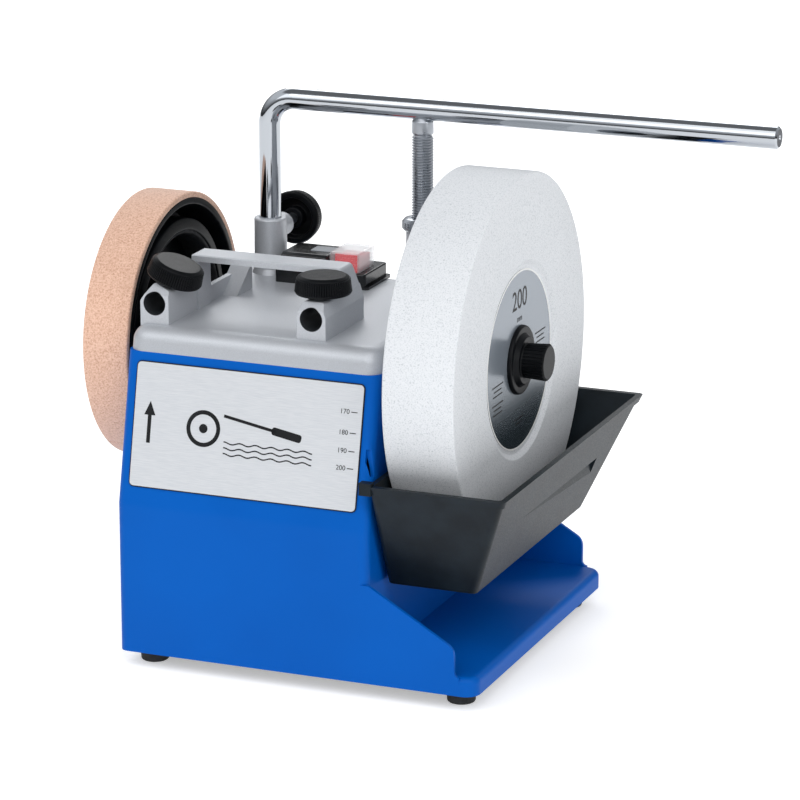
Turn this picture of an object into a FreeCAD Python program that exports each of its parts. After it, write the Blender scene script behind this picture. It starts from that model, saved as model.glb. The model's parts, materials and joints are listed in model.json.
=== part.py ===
"""Wet grinding sharpener: a slow water-cooled grindstone and a leather honing wheel on one shaft.

Frame, in millimetres: X runs along the main shaft towards the grindstone, Y points to the back of
the machine and Z points up. The model is drawn with x = 0 midway between the side walls, and on export
it is moved along X, so that the origin is on the bench, below the shaft, midway between the two ends.
"""
import FreeCAD, Part
import math
import os

Vec = FreeCAD.Vector
X_AXIS, Y_AXIS, Z_AXIS = Vec(1, 0, 0), Vec(0, 1, 0), Vec(0, 0, 1)

# --- Driving dimensions ---------------------------------------------------------------------------

shaft_z = 161.0            # height of the main shaft over the bench
shaft_r = 6.0
foot_height = 8.5

# Sheet-steel housing
sheet = 2.0
half_width = 71.2
front_y = -103.0           # lower part of the front
back_y = 96.0
crease_z = 90.0            # above this height the front and the back lean inwards
rim_z = 169.2              # top edge, where the cast cover sits
rim_front_y = -86.0
rim_back_y = 68.0
base_right_x = 131.0       # the base reaches out under the water trough
base_top_z = 18.5
gusset_top_z = 61.8        # the sloping end walls run down from here
gusset_end_x, gusset_end_z = 119.3, 33.8
gusset_foot_x = 122.0
bearing_boss_r = 12.8      # bosses of the cover that sit in notches of the side walls
motor_shaft_hole_r = 9.0
gland_x, gland_z = -40.0, 34.0
lug_y, lug_z = (-58.0, 36.0), 160.5      # screws that hold the cover to the side walls
lug_screw_r = 2.0
slot_y, slot_z = (-94.0, 79.0), (118.0, 132.0)   # slots in the right wall for the trough's ears
plate_thick = 1.5          # bottom plate
label_z, label_half = (99.8, 164.6), 64.5        # plate on the leaning front
foot_r = 8.0
foot_places = {"front_left": (-58.0, -86.0), "front_right": (117.0, -86.0),
               "back_left": (-58.0, 79.0), "back_right": (117.0, 79.0)}

# Cast top cover
cover_top_z = 182.0
cover_wall = 3.0
cover_round = 9.0
bush_r = 9.0
bush_face_x = half_width + 1.6
sleeve_bore_r = 6.15       # every sleeve takes the 12 mm support bar
front_sleeve_x = (-59.5, 29.5)
front_sleeve_z = 192.7
front_sleeve_y = (-76.5, -25.0)
clamp_y = -60.0            # clamp screws of the front sleeves
clamp_tilt = 20.0          # the left clamp leans away from the honing wheel, in degrees
collar_x = (-48.65, 41.1)
collar_y = 50.0
collar_top_z = 213.0
collar_foot_z = 165.0      # the vertical sleeves go on below the cover
collar_r = 9.0
rear_clamp_z = 205.5
sleeve_half = 8.1          # half width of the blocks around the front sleeves
sleeve_crown_z = 201.4
bridge_y = (-41.0, -25.0)
bridge_top_z = 211.7
bridge_thick = 3.6
bridge_knee_x, bridge_knee_z = 31.0, 198.0       # the right arm slopes between these
wall_x, wall_top_z = (-54.4, -51.4), 191.0       # low wall behind the left sleeve
ramp_x, ramp_y, ramp_top_z = (-54.4, -43.0), (-9.0, 9.0, 12.0), 194.5

# Clamp knobs, measured from the axis of the bore that they clamp
knob_low, knob_high = 10.9, 20.5
rear_knob_low = 31.0
knob_r_low, knob_r_top = 14.75, 13.8
clamp_screw_r = 3.0

# Support bar
bar_r = 6.0
bar_z = 280.0
bar_bend_r = 15.0
bar_end_x = 240.0
relief_x, relief_depth = (48.0, 49.5), 0.2         # shallow groove that ends the ground stretch beside the leg
leg_bottom_z = 160.0
adjuster_r, adjuster_height = 11.2, 6.6

# Wheels
stone_x = (77.5, 117.5)
stone_r = 100.0
stone_recess_r, stone_recess = 53.0, 2.2
label_r = 48.3
stone_nut_end_x = 132.5
shaft_x = (-116.0, 131.0)
honing_x = (-104.0, -78.0)
honing_nut_x = (-118.0, -106.0)
honing_r, leather = 72.5, 3.0
drive_x = (-99.0, -80.5)
drive_r, drive_hub_r = 58.0, 37.5
friction_r, friction_thick = 50.0, 2.0   # rubber ring that the motor's roller runs in

# Motor
roller_r = 4.25
roller_x = (-95.0, -83.0)
rotor_shaft_r = 4.0
rotor_r, stator_bore_r = 23.5, 24.0
roller_reach = 45.7        # distance from the main shaft to the motor shaft
motor_z = shaft_z - roller_reach
motor_half = 37.0
stator_x = (-20.0, 20.0)
bell_r, bearing_r = 34.0, 9.5
fan_x = (50.5, 58.0)
cradle_z = motor_z - motor_half - 3.0
capacitor_y, capacitor_z, capacitor_r = 70.0, 45.0, 15.0
pivot_y, pivot_z, pivot_r = 62.0, 115.0, 4.0

# Water trough
trough_x = (74.0, 147.7, 123.0)          # left wall, right wall at the rim, right wall at the floor
trough_y = (108.5, 81.5)                 # half length at the rim and at the floor
trough_z = (57.0, 117.3)
trough_wall = 2.2

# Switch
switch_x = (-37.6, 15.6)
switch_y = (29.6, 62.0)
switch_top_z = 190.6
rocker_x = (-4.1, 9.9)
rocker_y = (33.5, 50.5)
rocker_tilt = 7.0
rocker_pin_r, rocker_pin_z = 1.2, 188.6
rocker_mid_y = sum(rocker_y) / 2
lid_x = (-34.5, -7.5)      # raised lid of the switch box
boot_x, boot_y, boot_top_z, boot_wall = (-5.6, 11.4), (30.4, 54.0), 201.5, 1.0

running_gap = 0.05         # radial clearance of a shaft or screw in its hole
frame_x = (honing_nut_x[0] + bar_end_x) / 2      # middle of the machine's length
parts = {}

# --- Helpers --------------------------------------------------------------------------------------


def box(x, y, z):
    """Box between two limits on each axis."""
    return Part.makeBox(x[1] - x[0], y[1] - y[0], z[1] - z[0], Vec(x[0], y[0], z[0]))


def rod(radius, start, end):
    """Cylinder from one point to another."""
    start, end = Vec(*start), Vec(*end)
    along = end - start
    return Part.makeCylinder(radius, along.Length, start, along)


def cone(radius_start, radius_end, start, end):
    """Cone from one point to another."""
    start, end = Vec(*start), Vec(*end)
    along = end - start
    return Part.makeCone(radius_start, radius_end, along.Length, start, along)


def disc_x(radius, x, y=0.0, z=shaft_z):
    """Disc on an axis along X, by default the main shaft."""
    return rod(radius, (x[0], y, z), (x[1], y, z))


def tube_x(outer, inner, x, y=0.0, z=shaft_z):
    """Ring on an axis along X, by default the main shaft."""
    return disc_x(outer, x, y, z).cut(disc_x(inner, (x[0] - 1, x[1] + 1), y, z))


def prism_x(outline, x):
    """Outline of (y, z) points, extruded along X."""
    wire = Part.makePolygon([Vec(x[0], y, z) for y, z in outline + outline[:1]])
    return Part.Face(wire).extrude(Vec(x[1] - x[0], 0, 0))


def prism_y(outline, y):
    """Outline of (x, z) points, extruded along Y."""
    wire = Part.makePolygon([Vec(x, y[0], z) for x, z in outline + outline[:1]])
    return Part.Face(wire).extrude(Vec(0, y[1] - y[0], 0))


def rectangle(x, y, z, corner):
    """Flat wire of a rectangle with rounded corners, at one height."""
    points = [(x[0], y[0]), (x[1], y[0]), (x[1], y[1]), (x[0], y[1])]
    flat = Part.Face(Part.makePolygon([Vec(px, py, z) for px, py in points + points[:1]]))
    solid = flat.extrude(Vec(0, 0, 1))
    uprights = edges_where(solid, lambda e: direction(e) == "z")
    solid = solid.makeFillet(corner, uprights)
    lowest = min(solid.Faces, key=lambda f: f.CenterOfMass.z)
    return lowest.OuterWire


def direction(edge):
    """Name of the axis that a straight edge is parallel to, or an empty text."""
    if len(edge.Vertexes) < 2:
        return ""
    span = edge.Vertexes[1].Point - edge.Vertexes[0].Point
    for name, axis in (("x", X_AXIS), ("y", Y_AXIS), ("z", Z_AXIS)):
        if span.Length and abs(abs(span.dot(axis)) - span.Length) < 1e-6:
            return name
    return ""


def edges_where(shape, wanted):
    """Edges of a shape that a test accepts."""
    return [edge for edge in shape.Edges if wanted(edge)]


def rounded(shape, radius, wanted):
    """Shape with the edges that a test accepts rounded."""
    return shape.makeFillet(radius, edges_where(shape, wanted))


def joined(*shapes):
    """One solid from several that touch."""
    whole = shapes[0].fuse(list(shapes[1:])) if len(shapes) > 1 else shapes[0]
    return whole.removeSplitter()


def front_wall_y(z):
    """Outside of the front at a height."""
    lean = (rim_front_y - front_y) / (rim_z - crease_z)
    return front_y + lean * max(z - crease_z, 0.0)


def back_wall_y(z):
    """Outside of the back at a height."""
    lean = (rim_back_y - back_y) / (rim_z - crease_z)
    return back_y + lean * max(z - crease_z, 0.0)


def wall_outline(low, high, inset=0.0):
    """Side view of the housing between two heights, as (y, z) points."""
    heights = [low] + ([crease_z] if low < crease_z < high else []) + [high]
    front = [(front_wall_y(z) + inset, z) for z in heights]
    back = [(back_wall_y(z) - inset, z) for z in reversed(heights)]
    return front + back


def save(name, shape):
    """Keep a finished piece under its node name."""
    parts[name] = shape


# --- Housing: folded and welded sheet steel -------------------------------------------------------


def housing_body():
    """Four leaning walls, open above for the cover and below for the bottom plate."""
    def is_corner(edge):
        return direction(edge) != "x" and foot_height + 0.1 < edge.CenterOfMass.z < rim_z - 0.1

    outer = prism_x(wall_outline(foot_height, rim_z), (-half_width, half_width))
    outer = rounded(outer, 14.0, lambda e: direction(e) == "x" and abs(e.CenterOfMass.z - crease_z) < 0.1)
    outer = rounded(outer, 5.0, is_corner)
    inner = prism_x(wall_outline(0.0, rim_z + 8.0, sheet), (sheet - half_width, half_width - sheet))
    inner = rounded(inner, 12.0, lambda e: direction(e) == "x" and abs(e.CenterOfMass.z - crease_z) < 0.1)
    inner = rounded(inner, 3.0, lambda e: direction(e) != "x" and 1.0 < e.CenterOfMass.z < rim_z + 7.0)
    return outer.cut(inner)


def base_tray():
    """Floor under the trough, with its edges turned down."""
    x, y = (half_width - 10.0, base_right_x), (front_y, back_y)
    outer = box(x, y, (foot_height, base_top_z))
    outer = rounded(outer, 8.0, lambda e: direction(e) == "z" and e.CenterOfMass.x > base_right_x - 1)
    outer = rounded(outer, 3.5, lambda e: e.CenterOfMass.z > base_top_z - 0.1 and e.CenterOfMass.x > x[0] + 1)
    inner_y = (y[0] + sheet, y[1] - sheet)
    inner = box((x[0] - 1, x[1] - sheet), inner_y, (foot_height - 1, base_top_z - sheet))
    inner = rounded(inner, 6.0, lambda e: direction(e) == "z" and e.CenterOfMass.x > base_right_x - 5)
    return outer.cut(inner)


def gusset(y):
    """Sloping end wall that ties the base to the housing."""
    start_x = half_width - 6.0       # covers the rounded corner of the housing, so that the front is flush
    outline = [(start_x, foot_height), (start_x, gusset_top_z), (half_width + 0.6, gusset_top_z),
               (gusset_end_x, gusset_end_z), (gusset_end_x, base_top_z),
               (gusset_foot_x, base_top_z), (gusset_foot_x, foot_height)]
    plate = prism_y(outline, y)
    plate = rounded(plate, 7.0, lambda e: direction(e) == "y" and abs(e.CenterOfMass.z - gusset_end_z) < 0.1)
    inside_corner = Vec(gusset_end_x, sum(y) / 2, base_top_z)
    return rounded(plate, 2.6, lambda e: (e.CenterOfMass - inside_corner).Length < 0.1)


def make_housing():
    """Housing and base as one welded piece, with its openings."""
    shell = housing_body()
    base = base_tray().cut(box((0, half_width - sheet), (front_y - 1, back_y + 1), (0, 30)))
    gussets = [gusset((front_y, front_y + sheet)), gusset((back_y - sheet, back_y))]
    steel = joined(shell, base, *gussets)
    notch_r = bearing_boss_r + 0.3
    right_wall = (half_width - 4, half_width + 2)
    cuts = [disc_x(notch_r, (-half_width - 5, half_width + 5)),
            box((-half_width - 5, half_width + 5), (-notch_r, notch_r), (shaft_z, rim_z + 5)),
            disc_x(motor_shaft_hole_r, (-half_width - 5, sheet - half_width + 5), 0.0, motor_z),
            rod(8.0, (gland_x, back_y - 5, gland_z), (gland_x, back_y + 5, gland_z))]
    for side in (-1, 1):
        wall = (side * half_width - 5, side * half_width + 5)
        cuts += [disc_x(lug_screw_r + 0.6, wall, y, lug_z) for y in lug_y]
    cuts += [box(right_wall, (y - 1.3, y + 1.3), slot_z) for y in slot_y]
    plate_y = (front_y + sheet + 0.1, back_y - sheet - 0.1)
    cuts.append(box(right_wall, plate_y, (foot_height - 1, foot_height + plate_thick + 0.1)))
    return steel.cut(Part.makeCompound(cuts))


save("housing", make_housing())


def make_bottom_plate():
    """Flat steel plate that closes the housing and the base from below, with air slots."""
    x = (sheet - half_width + 0.2, base_right_x - sheet - 0.3)
    y = (front_y + sheet + 0.2, back_y - sheet - 0.2)
    plate = box(x, y, (foot_height, foot_height + plate_thick))
    plate = rounded(plate, 6.5, lambda e: direction(e) == "z")
    slots = [box((-36, 36), (yy, yy + 4), (0, 30)) for yy in range(-44, 48, 12)]
    holes = [rod(2.2, (fx, fy, 0), (fx, fy, 30)) for fx, fy in foot_places.values()]
    return plate.cut(Part.makeCompound(slots + holes))


save("bottom_plate", make_bottom_plate())

def make_foot(x, y):
    """Rubber foot with a counterbore for its screw."""
    foot = cone(foot_r - 0.6, foot_r, (x, y, 0), (x, y, foot_height))
    foot = rounded(foot, 1.2, lambda e: e.CenterOfMass.z < 0.1)
    return foot.cut(rod(4.6, (x, y, -1), (x, y, 4.5))).cut(rod(2.15, (x, y, 0), (x, y, 20)))


def foot_screw(x, y):
    """Pan-head screw that holds a foot."""
    return rod(4.0, (x, y, 2.3), (x, y, 4.5)).fuse(rod(2.1, (x, y, 4.0), (x, y, 13.0)))


for place, (foot_x, foot_y) in foot_places.items():
    save("foot_" + place, make_foot(foot_x, foot_y))
save("foot_screws", Part.makeCompound([foot_screw(x, y) for x, y in foot_places.values()]))

# --- Cast top cover with its sleeves, collars and bridge ------------------------------------------


def cover_shell():
    """Rounded lid with a lip that drops inside the housing's rim."""
    outer = prism_x(wall_outline(rim_z, cover_top_z), (-half_width, half_width))
    outer = rounded(outer, cover_round, lambda e: e.CenterOfMass.z > rim_z + 1)
    lip_gap = sheet + 0.25
    lip_half = half_width - lip_gap
    lip = prism_x(wall_outline(rim_z - 5.0, rim_z + 1.0, lip_gap), (-lip_half, lip_half))
    lip = rounded(lip, 3.0, lambda e: direction(e) != "x" and rim_z - 4.5 < e.CenterOfMass.z < rim_z + 0.5)
    depth = sheet + 0.25 + cover_wall
    inner_outline = wall_outline(rim_z - 6.0, cover_top_z - cover_wall, depth)
    inner = prism_x(inner_outline, (depth - half_width, half_width - depth))
    inner = rounded(inner, 4.0, lambda e: e.CenterOfMass.z > rim_z + 1)
    return outer.fuse(lip).cut(inner)


def front_sleeve(bore_x, top_outline, rear_y):
    """Block around a front sleeve, with a bevelled front edge on top."""
    x = (bore_x - sleeve_half, bore_x + sleeve_half)
    lower = [(x[0], cover_top_z - 2), (x[0], front_sleeve_z + 1.2)]
    outline = lower + top_outline + [(x[1], front_sleeve_z + 1.2), (x[1], cover_top_z - 2)]
    block = prism_y(outline, (front_sleeve_y[0], rear_y))
    block = rounded(block, 2.0, lambda e: direction(e) == "y" and e.CenterOfMass.z > front_sleeve_z)
    low_edge, high_edge = sleeve_crown_z - 4.9, sleeve_crown_z + 1.6
    front = front_sleeve_y[0] - 1
    corner = [(front, low_edge), (front + 6.5, high_edge), (front, high_edge + 3)]
    bevel = prism_x(corner, (x[0] - 1, x[1] + 1))
    return block.cut(bevel)


def collar(x):
    """Vertical sleeve with a flared foot and a boss for its clamp screw at the back."""
    post = rod(collar_r, (x, collar_y, collar_foot_z), (x, collar_y, collar_top_z))
    post = rounded(post, 1.2, lambda e: e.CenterOfMass.z > collar_top_z - 0.1)
    flare_low, flare_high = (x, collar_y, cover_top_z - 1), (x, collar_y, cover_top_z + 3.5)
    flare = cone(collar_r + 1.6, collar_r - 0.2, flare_low, flare_high)
    boss = rod(6.5, (x, collar_y, rear_clamp_z), (x, collar_y + 17.5, rear_clamp_z))
    boss = rounded(boss, 0.8, lambda e: e.CenterOfMass.y > collar_y + 17.4)
    return [post, flare, boss]


def bridge():
    """Flat bar between the front sleeves that also serves as a handle."""
    low = bridge_top_z - bridge_thick
    foot = cover_top_z - 1
    right = front_sleeve_x[1] + sleeve_half
    left = front_sleeve_x[0] + 5.2
    outer = [(left, foot), (left, bridge_top_z), (bridge_knee_x, bridge_top_z),
             (right - 1.3, bridge_knee_z), (right, foot)]
    inner = [(right - 3.8, foot), (right - 5.0, bridge_knee_z), (bridge_knee_x - 2.4, low),
             (left + 3.5, low), (left + 3.9, foot)]
    bar = prism_y(outer + inner, bridge_y)
    corner_x, corner_z = bridge_knee_x - 2.5, front_sleeve_z
    knee = edges_where(bar, lambda e: e.CenterOfMass.x > corner_x and e.CenterOfMass.z > corner_z)
    bar = bar.makeFillet(3.0, [edge for edge in knee if direction(edge) == "y"])
    return rounded(bar, 0.7, lambda e: e.CenterOfMass.z > bridge_top_z - 0.1 and e.CenterOfMass.x < 20)


def bearing_boss(side):
    """Boss inside the cover that holds a bush of the main shaft."""
    x = sorted((side * half_width, side * (half_width - 15.0)))
    block = box(x, (-bearing_boss_r, bearing_boss_r), (shaft_z, cover_top_z - 1))
    return [block, disc_x(bearing_boss_r, x)]


def screw_pad(side, y):
    """Pad inside the lip that a cover screw goes into."""
    return box(sorted((side * (half_width - 2.5), side * 61.0)), (y - 6, y + 6), (154.0, cover_top_z - 1))


def tilted_crown():
    """Top of the left block, square to its leaning clamp screw."""
    tilt = math.radians(clamp_tilt)
    crown = [(-5.4, 9.0), (5.2, 9.0)]
    return [(front_sleeve_x[0] + across * math.cos(tilt) + above * math.sin(tilt),
             front_sleeve_z - across * math.sin(tilt) + above * math.cos(tilt)) for across, above in crown]


def left_wall():
    """Low wall behind the left block, ending in a ramp beside the collar."""
    wall = box(wall_x, (front_sleeve_y[1] - 1, ramp_y[2]), (cover_top_z - 2, wall_top_z))
    foot = cover_top_z - 2
    outline = [(ramp_y[0], foot), (ramp_y[0], cover_top_z - 0.5), (ramp_y[1], ramp_top_z),
               (ramp_y[2], ramp_top_z), (ramp_y[2], foot)]
    return [wall, prism_x(outline, ramp_x)]


def cover_bores():
    """Everything that is bored or cut out of the casting."""
    tilt = math.radians(clamp_tilt)
    screw_hole_r = clamp_screw_r + running_gap
    cuts = [disc_x(bush_r, (-half_width - 1, half_width + 1))]
    for x in collar_x:
        cuts.append(rod(sleeve_bore_r, (x, collar_y, collar_foot_z - 1), (x, collar_y, collar_top_z + 1)))
        cuts.append(rod(screw_hole_r, (x, collar_y, rear_clamp_z), (x, collar_y + 20, rear_clamp_z)))
    for x, angle in zip(front_sleeve_x, (tilt, 0.0)):
        mouth, rear = (x, front_sleeve_y[0] - 1, front_sleeve_z), (x, front_sleeve_y[1] + 1, front_sleeve_z)
        tip = (x + 15 * math.sin(angle), clamp_y, front_sleeve_z + 15 * math.cos(angle))
        cuts.append(rod(sleeve_bore_r, mouth, rear))
        cuts.append(rod(screw_hole_r, (x, clamp_y, front_sleeve_z), tip))
    switch_window = ((switch_x[0] + 8, switch_x[1] - 5), (switch_y[0] + 4, switch_y[1] - 6))
    cuts.append(box(*switch_window, (150, cover_top_z + 1)))
    for side in (-1, 1):
        pad_x = sorted((side * 60.0, side * (half_width - 1)))
        cuts += [disc_x(lug_screw_r + running_gap, pad_x, y, lug_z) for y in lug_y]
    return cuts


def make_cover():
    """The whole casting."""
    right_top = [(front_sleeve_x[1] - 5.7, sleeve_crown_z), (front_sleeve_x[1] + 5.8, sleeve_crown_z)]
    solids = [cover_shell(), bridge()] + left_wall()
    solids.append(front_sleeve(front_sleeve_x[0], tilted_crown(), front_sleeve_y[1]))
    solids.append(front_sleeve(front_sleeve_x[1], right_top, front_sleeve_y[1]))
    for x in collar_x:
        solids += collar(x)
    for side in (-1, 1):
        solids += bearing_boss(side)
        solids += [screw_pad(side, y) for y in lug_y]
    return joined(*solids).cut(Part.makeCompound(cover_bores()))


save("top_cover", make_cover())

def cover_screw(side, y):
    """Cheese-head screw through a side wall into a pad of the cover."""
    head = disc_x(4.2, sorted((side * half_width, side * (half_width + 2.2))), y, lug_z)
    shank = disc_x(lug_screw_r, sorted((side * 62.0, side * (half_width + 1))), y, lug_z)
    return head.fuse(shank)


save("cover_screws", Part.makeCompound([cover_screw(side, y) for side in (-1, 1) for y in lug_y]))


def make_bush(side):
    """Flanged plain bearing of the main shaft."""
    sleeve = tube_x(bush_r, shaft_r + running_gap, sorted((side * (half_width - 15), side * half_width)))
    flange = tube_x(11.0, shaft_r + running_gap, sorted((side * half_width, side * bush_face_x)))
    return joined(sleeve, flange)


save("shaft_bush_left", make_bush(-1))
save("shaft_bush_right", make_bush(1))


def make_label_plate():
    """Thin plate on the leaning front."""
    low, high = label_z
    lean = math.degrees(math.atan2(rim_front_y - front_y, rim_z - crease_z))
    length = (high - low) / math.cos(math.radians(lean))
    plate = Part.makeBox(2 * label_half, 0.8, length, Vec(-label_half, -0.8, -length / 2))
    plate = rounded(plate, 4.0, lambda e: direction(e) == "y")
    middle = (low + high) / 2
    plate.rotate(Vec(0, 0, 0), X_AXIS, -lean)
    plate.translate(Vec(0, front_wall_y(middle), middle))
    return plate


save("label_plate", make_label_plate())

def make_gland():
    """Gland that the mains cord leaves by."""
    body = rod(11.0, (gland_x, back_y, gland_z), (gland_x, back_y + 4, gland_z))
    body = body.fuse(cone(8.0, 6.0, (gland_x, back_y + 4, gland_z), (gland_x, back_y + 14, gland_z)))
    body = body.fuse(rod(7.9, (gland_x, back_y - 8, gland_z), (gland_x, back_y, gland_z)))
    cord_hole = rod(3.6, (gland_x, back_y - 9, gland_z), (gland_x, back_y + 20, gland_z))
    return body.cut(cord_hole).removeSplitter()


save("cord_gland", make_gland())

# --- Main shaft with the grindstone and the honing wheel ------------------------------------------

tight_r = shaft_r + 0.02       # bore of the pieces that are pressed on the shaft
label_x = stone_x[1] - stone_recess
nut_x = label_x + 0.5

save("main_shaft", rounded(disc_x(shaft_r, shaft_x), 0.6, lambda e: e.Curve.TypeId == "Part::GeomCircle"))


def make_grindstone():
    """Ceramic disc with bevelled edges, a recess for its label and a seat for the inner flange."""
    stone = tube_x(stone_r, tight_r, stone_x)
    rims = edges_where(stone, lambda e: e.BoundBox.ZLength > 2 * stone_r - 0.1 and e.BoundBox.XLength < 0.1)
    stone = stone.makeChamfer(1.5, rims)
    mouth = (stone_x[1] + 0.01, 0, shaft_z)
    recess = cone(stone_recess_r - 1.5, stone_recess_r, (label_x, 0, shaft_z), mouth)
    return stone.cut(recess).cut(disc_x(24.0, (stone_x[0] - 1, stone_x[0] + 1.5)))


def make_spindle_nut():
    """Plastic nut that holds the stone, with a flange and a long grip."""
    flange = tube_x(18.0, shaft_r + running_gap, (nut_x, nut_x + 1.8))
    step = cone(15.0, 12.5, (nut_x + 1.8, 0, shaft_z), (nut_x + 3.8, 0, shaft_z))
    grip = disc_x(10.0, (nut_x + 3.8, stone_nut_end_x))
    grip = rounded(grip, 0.8, lambda e: abs(e.CenterOfMass.x - stone_nut_end_x) < 0.1)
    return joined(flange, step, grip).cut(disc_x(shaft_r + running_gap, (nut_x - 1, shaft_x[1] + 0.2)))


def make_stone_flange():
    """Inner flange of the stone, with its spacer."""
    flange = tube_x(22.0, tight_r, (stone_x[0] - 1.5, stone_x[0] + 1.5))
    return joined(flange, tube_x(9.0, tight_r, (bush_face_x + 0.3, stone_x[0] - 1.5)))


save("grindstone", make_grindstone())
save("stone_label", tube_x(label_r, 10.0, (label_x, nut_x)))
save("spindle_nut", make_spindle_nut())
save("stone_flange", make_stone_flange())


def make_honing_wheel():
    """Plastic cup of the honing wheel."""
    rim = tube_x(honing_r - leather, honing_r - leather - 3.0, honing_x)
    web = tube_x(honing_r - leather, tight_r, (honing_x[0], honing_x[0] + 4.5))
    return joined(rim, web)


def make_drive_wheel():
    """Wheel inside the honing wheel, which the motor's roller turns from the inside of its rim."""
    rim = tube_x(drive_r, friction_r + friction_thick, drive_x)
    web = tube_x(drive_r, tight_r, (drive_x[0] - 0.5, drive_x[0] + 3.0))
    hub = tube_x(drive_hub_r, tight_r, (drive_x[0], drive_x[1] - 1.5))
    hub = rounded(hub, 1.5, lambda e: is_hub_edge(e) and e.CenterOfMass.x > sum(drive_x) / 2)
    return joined(rim, web, hub)


def is_hub_edge(edge):
    """Whether an edge is an outer circle of the drive wheel's hub."""
    return abs(edge.BoundBox.ZLength - 2 * drive_hub_r) < 0.1 and edge.BoundBox.XLength < 0.1


def make_honing_nut():
    """Hand nut with six lobes."""
    lobes = []
    for count in range(6):
        turn = math.radians(60 * count)
        lobes.append(disc_x(5.0, honing_nut_x, 14.0 * math.cos(turn), shaft_z + 14.0 * math.sin(turn)))
    body = joined(disc_x(15.0, honing_nut_x), disc_x(11.0, (honing_nut_x[1], honing_x[0])), *lobes)
    return body.cut(disc_x(shaft_r + running_gap, (shaft_x[0] - 0.3, honing_x[0] + 4)))


save("honing_wheel", make_honing_wheel())
save("honing_leather", tube_x(honing_r, honing_r - leather, honing_x))
save("drive_wheel", make_drive_wheel())
save("friction_ring", tube_x(friction_r + friction_thick, friction_r, (drive_x[0] + 3.0, drive_x[1] - 0.5)))
save("drive_spacer", tube_x(9.0, tight_r, (drive_x[1] - 1.5, -bush_face_x - 0.3)))
save("honing_nut", make_honing_nut())

# --- Support bar and its fine adjustment ----------------------------------------------------------


def make_support_bar():
    """Bent steel bar: a vertical leg, a bend and the long horizontal stretch."""
    x, y = collar_x[0], collar_y
    bend_start = Vec(x, y, bar_z - bar_bend_r)
    bend_end = Vec(x + bar_bend_r, y, bar_z)
    inset = bar_bend_r * (1 - math.cos(math.pi / 4))
    bend_mid = Vec(x + inset, y, bar_z - inset)
    path = Part.Wire([Part.LineSegment(Vec(x, y, leg_bottom_z), bend_start).toShape(),
                      Part.Arc(bend_start, bend_mid, bend_end).toShape(),
                      Part.LineSegment(bend_end, Vec(bar_end_x, y, bar_z)).toShape()])
    profile = Part.Wire(Part.makeCircle(bar_r, Vec(x, y, leg_bottom_z), Z_AXIS))
    bar = path.makePipeShell([profile], True, False)
    ends = edges_where(bar, lambda e: e.CenterOfMass.x > bar_end_x - 0.1)
    ends += edges_where(bar, lambda e: e.CenterOfMass.z < leg_bottom_z + 0.1)
    bar = bar.makeChamfer(1.0, ends)
    drill = cone(1.6, 0.2, (bar_end_x, y, bar_z), (bar_end_x - 2.5, y, bar_z))
    relief = tube_x(bar_r + 1.0, bar_r - relief_depth, relief_x, y, bar_z)
    return bar.cut(drill).cut(relief)


save("support_bar", make_support_bar())


def make_threaded_leg():
    """Second leg, welded under the bar."""
    leg = rod(bar_r, (collar_x[1], collar_y, leg_bottom_z), (collar_x[1], collar_y, bar_z))
    leg = leg.makeChamfer(1.0, edges_where(leg, lambda e: e.CenterOfMass.z < leg_bottom_z + 0.1))
    return leg.cut(rod(bar_r, (0, collar_y, bar_z), (90, collar_y, bar_z)))


def make_adjusting_nut():
    """Round nut on the threaded leg, which sets the bar's height."""
    low = collar_top_z + 0.3
    x, y = collar_x[1], collar_y
    wheel = rod(adjuster_r, (x, y, low), (x, y, low + adjuster_height))
    wheel = rounded(wheel, 0.8, lambda e: e.Curve.TypeId == "Part::GeomCircle")
    return wheel.cut(rod(bar_r + running_gap, (x, y, low - 5), (x, y, low + 20)))


save("threaded_leg", make_threaded_leg())
save("adjusting_nut", make_adjusting_nut())

# --- Clamp knobs ----------------------------------------------------------------------------------


def clamp(name, bore_axis_point, away, low):
    """Knob and screw that clamp a bar; away points from the bore out to the knob."""
    height = knob_high - knob_low
    start = bore_axis_point + away * low
    head = Part.makeCone(knob_r_low, knob_r_top, height, start, away)
    hollow = Part.makeCone(11.8, 11.4, 5.0, start, away)
    hub = Part.makeCylinder(5.5, 5.0, start, away)
    head = rounded(head, 1.0, lambda e: (e.CenterOfMass - (start + away * height)).Length < 0.1)
    head = head.cut(hollow).fuse(hub)
    shank_start = bore_axis_point + away * (sleeve_bore_r + 0.4)
    shank = Part.makeCylinder(clamp_screw_r, low + 5.0 - sleeve_bore_r - 0.4, shank_start, away)
    save("clamp_knob_" + name, head.cut(shank).removeSplitter())
    save("clamp_screw_" + name, shank)


lean_axis = Vec(math.sin(math.radians(clamp_tilt)), 0, math.cos(math.radians(clamp_tilt)))
clamp("front_left", Vec(front_sleeve_x[0], clamp_y, front_sleeve_z), lean_axis, knob_low)
clamp("front_right", Vec(front_sleeve_x[1], clamp_y, front_sleeve_z), Z_AXIS, knob_low)
clamp("back_left", Vec(collar_x[0], collar_y, rear_clamp_z), Y_AXIS, rear_knob_low)
clamp("back_right", Vec(collar_x[1], collar_y, rear_clamp_z), Y_AXIS, rear_knob_low)

# --- Switch ---------------------------------------------------------------------------------------


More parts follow.
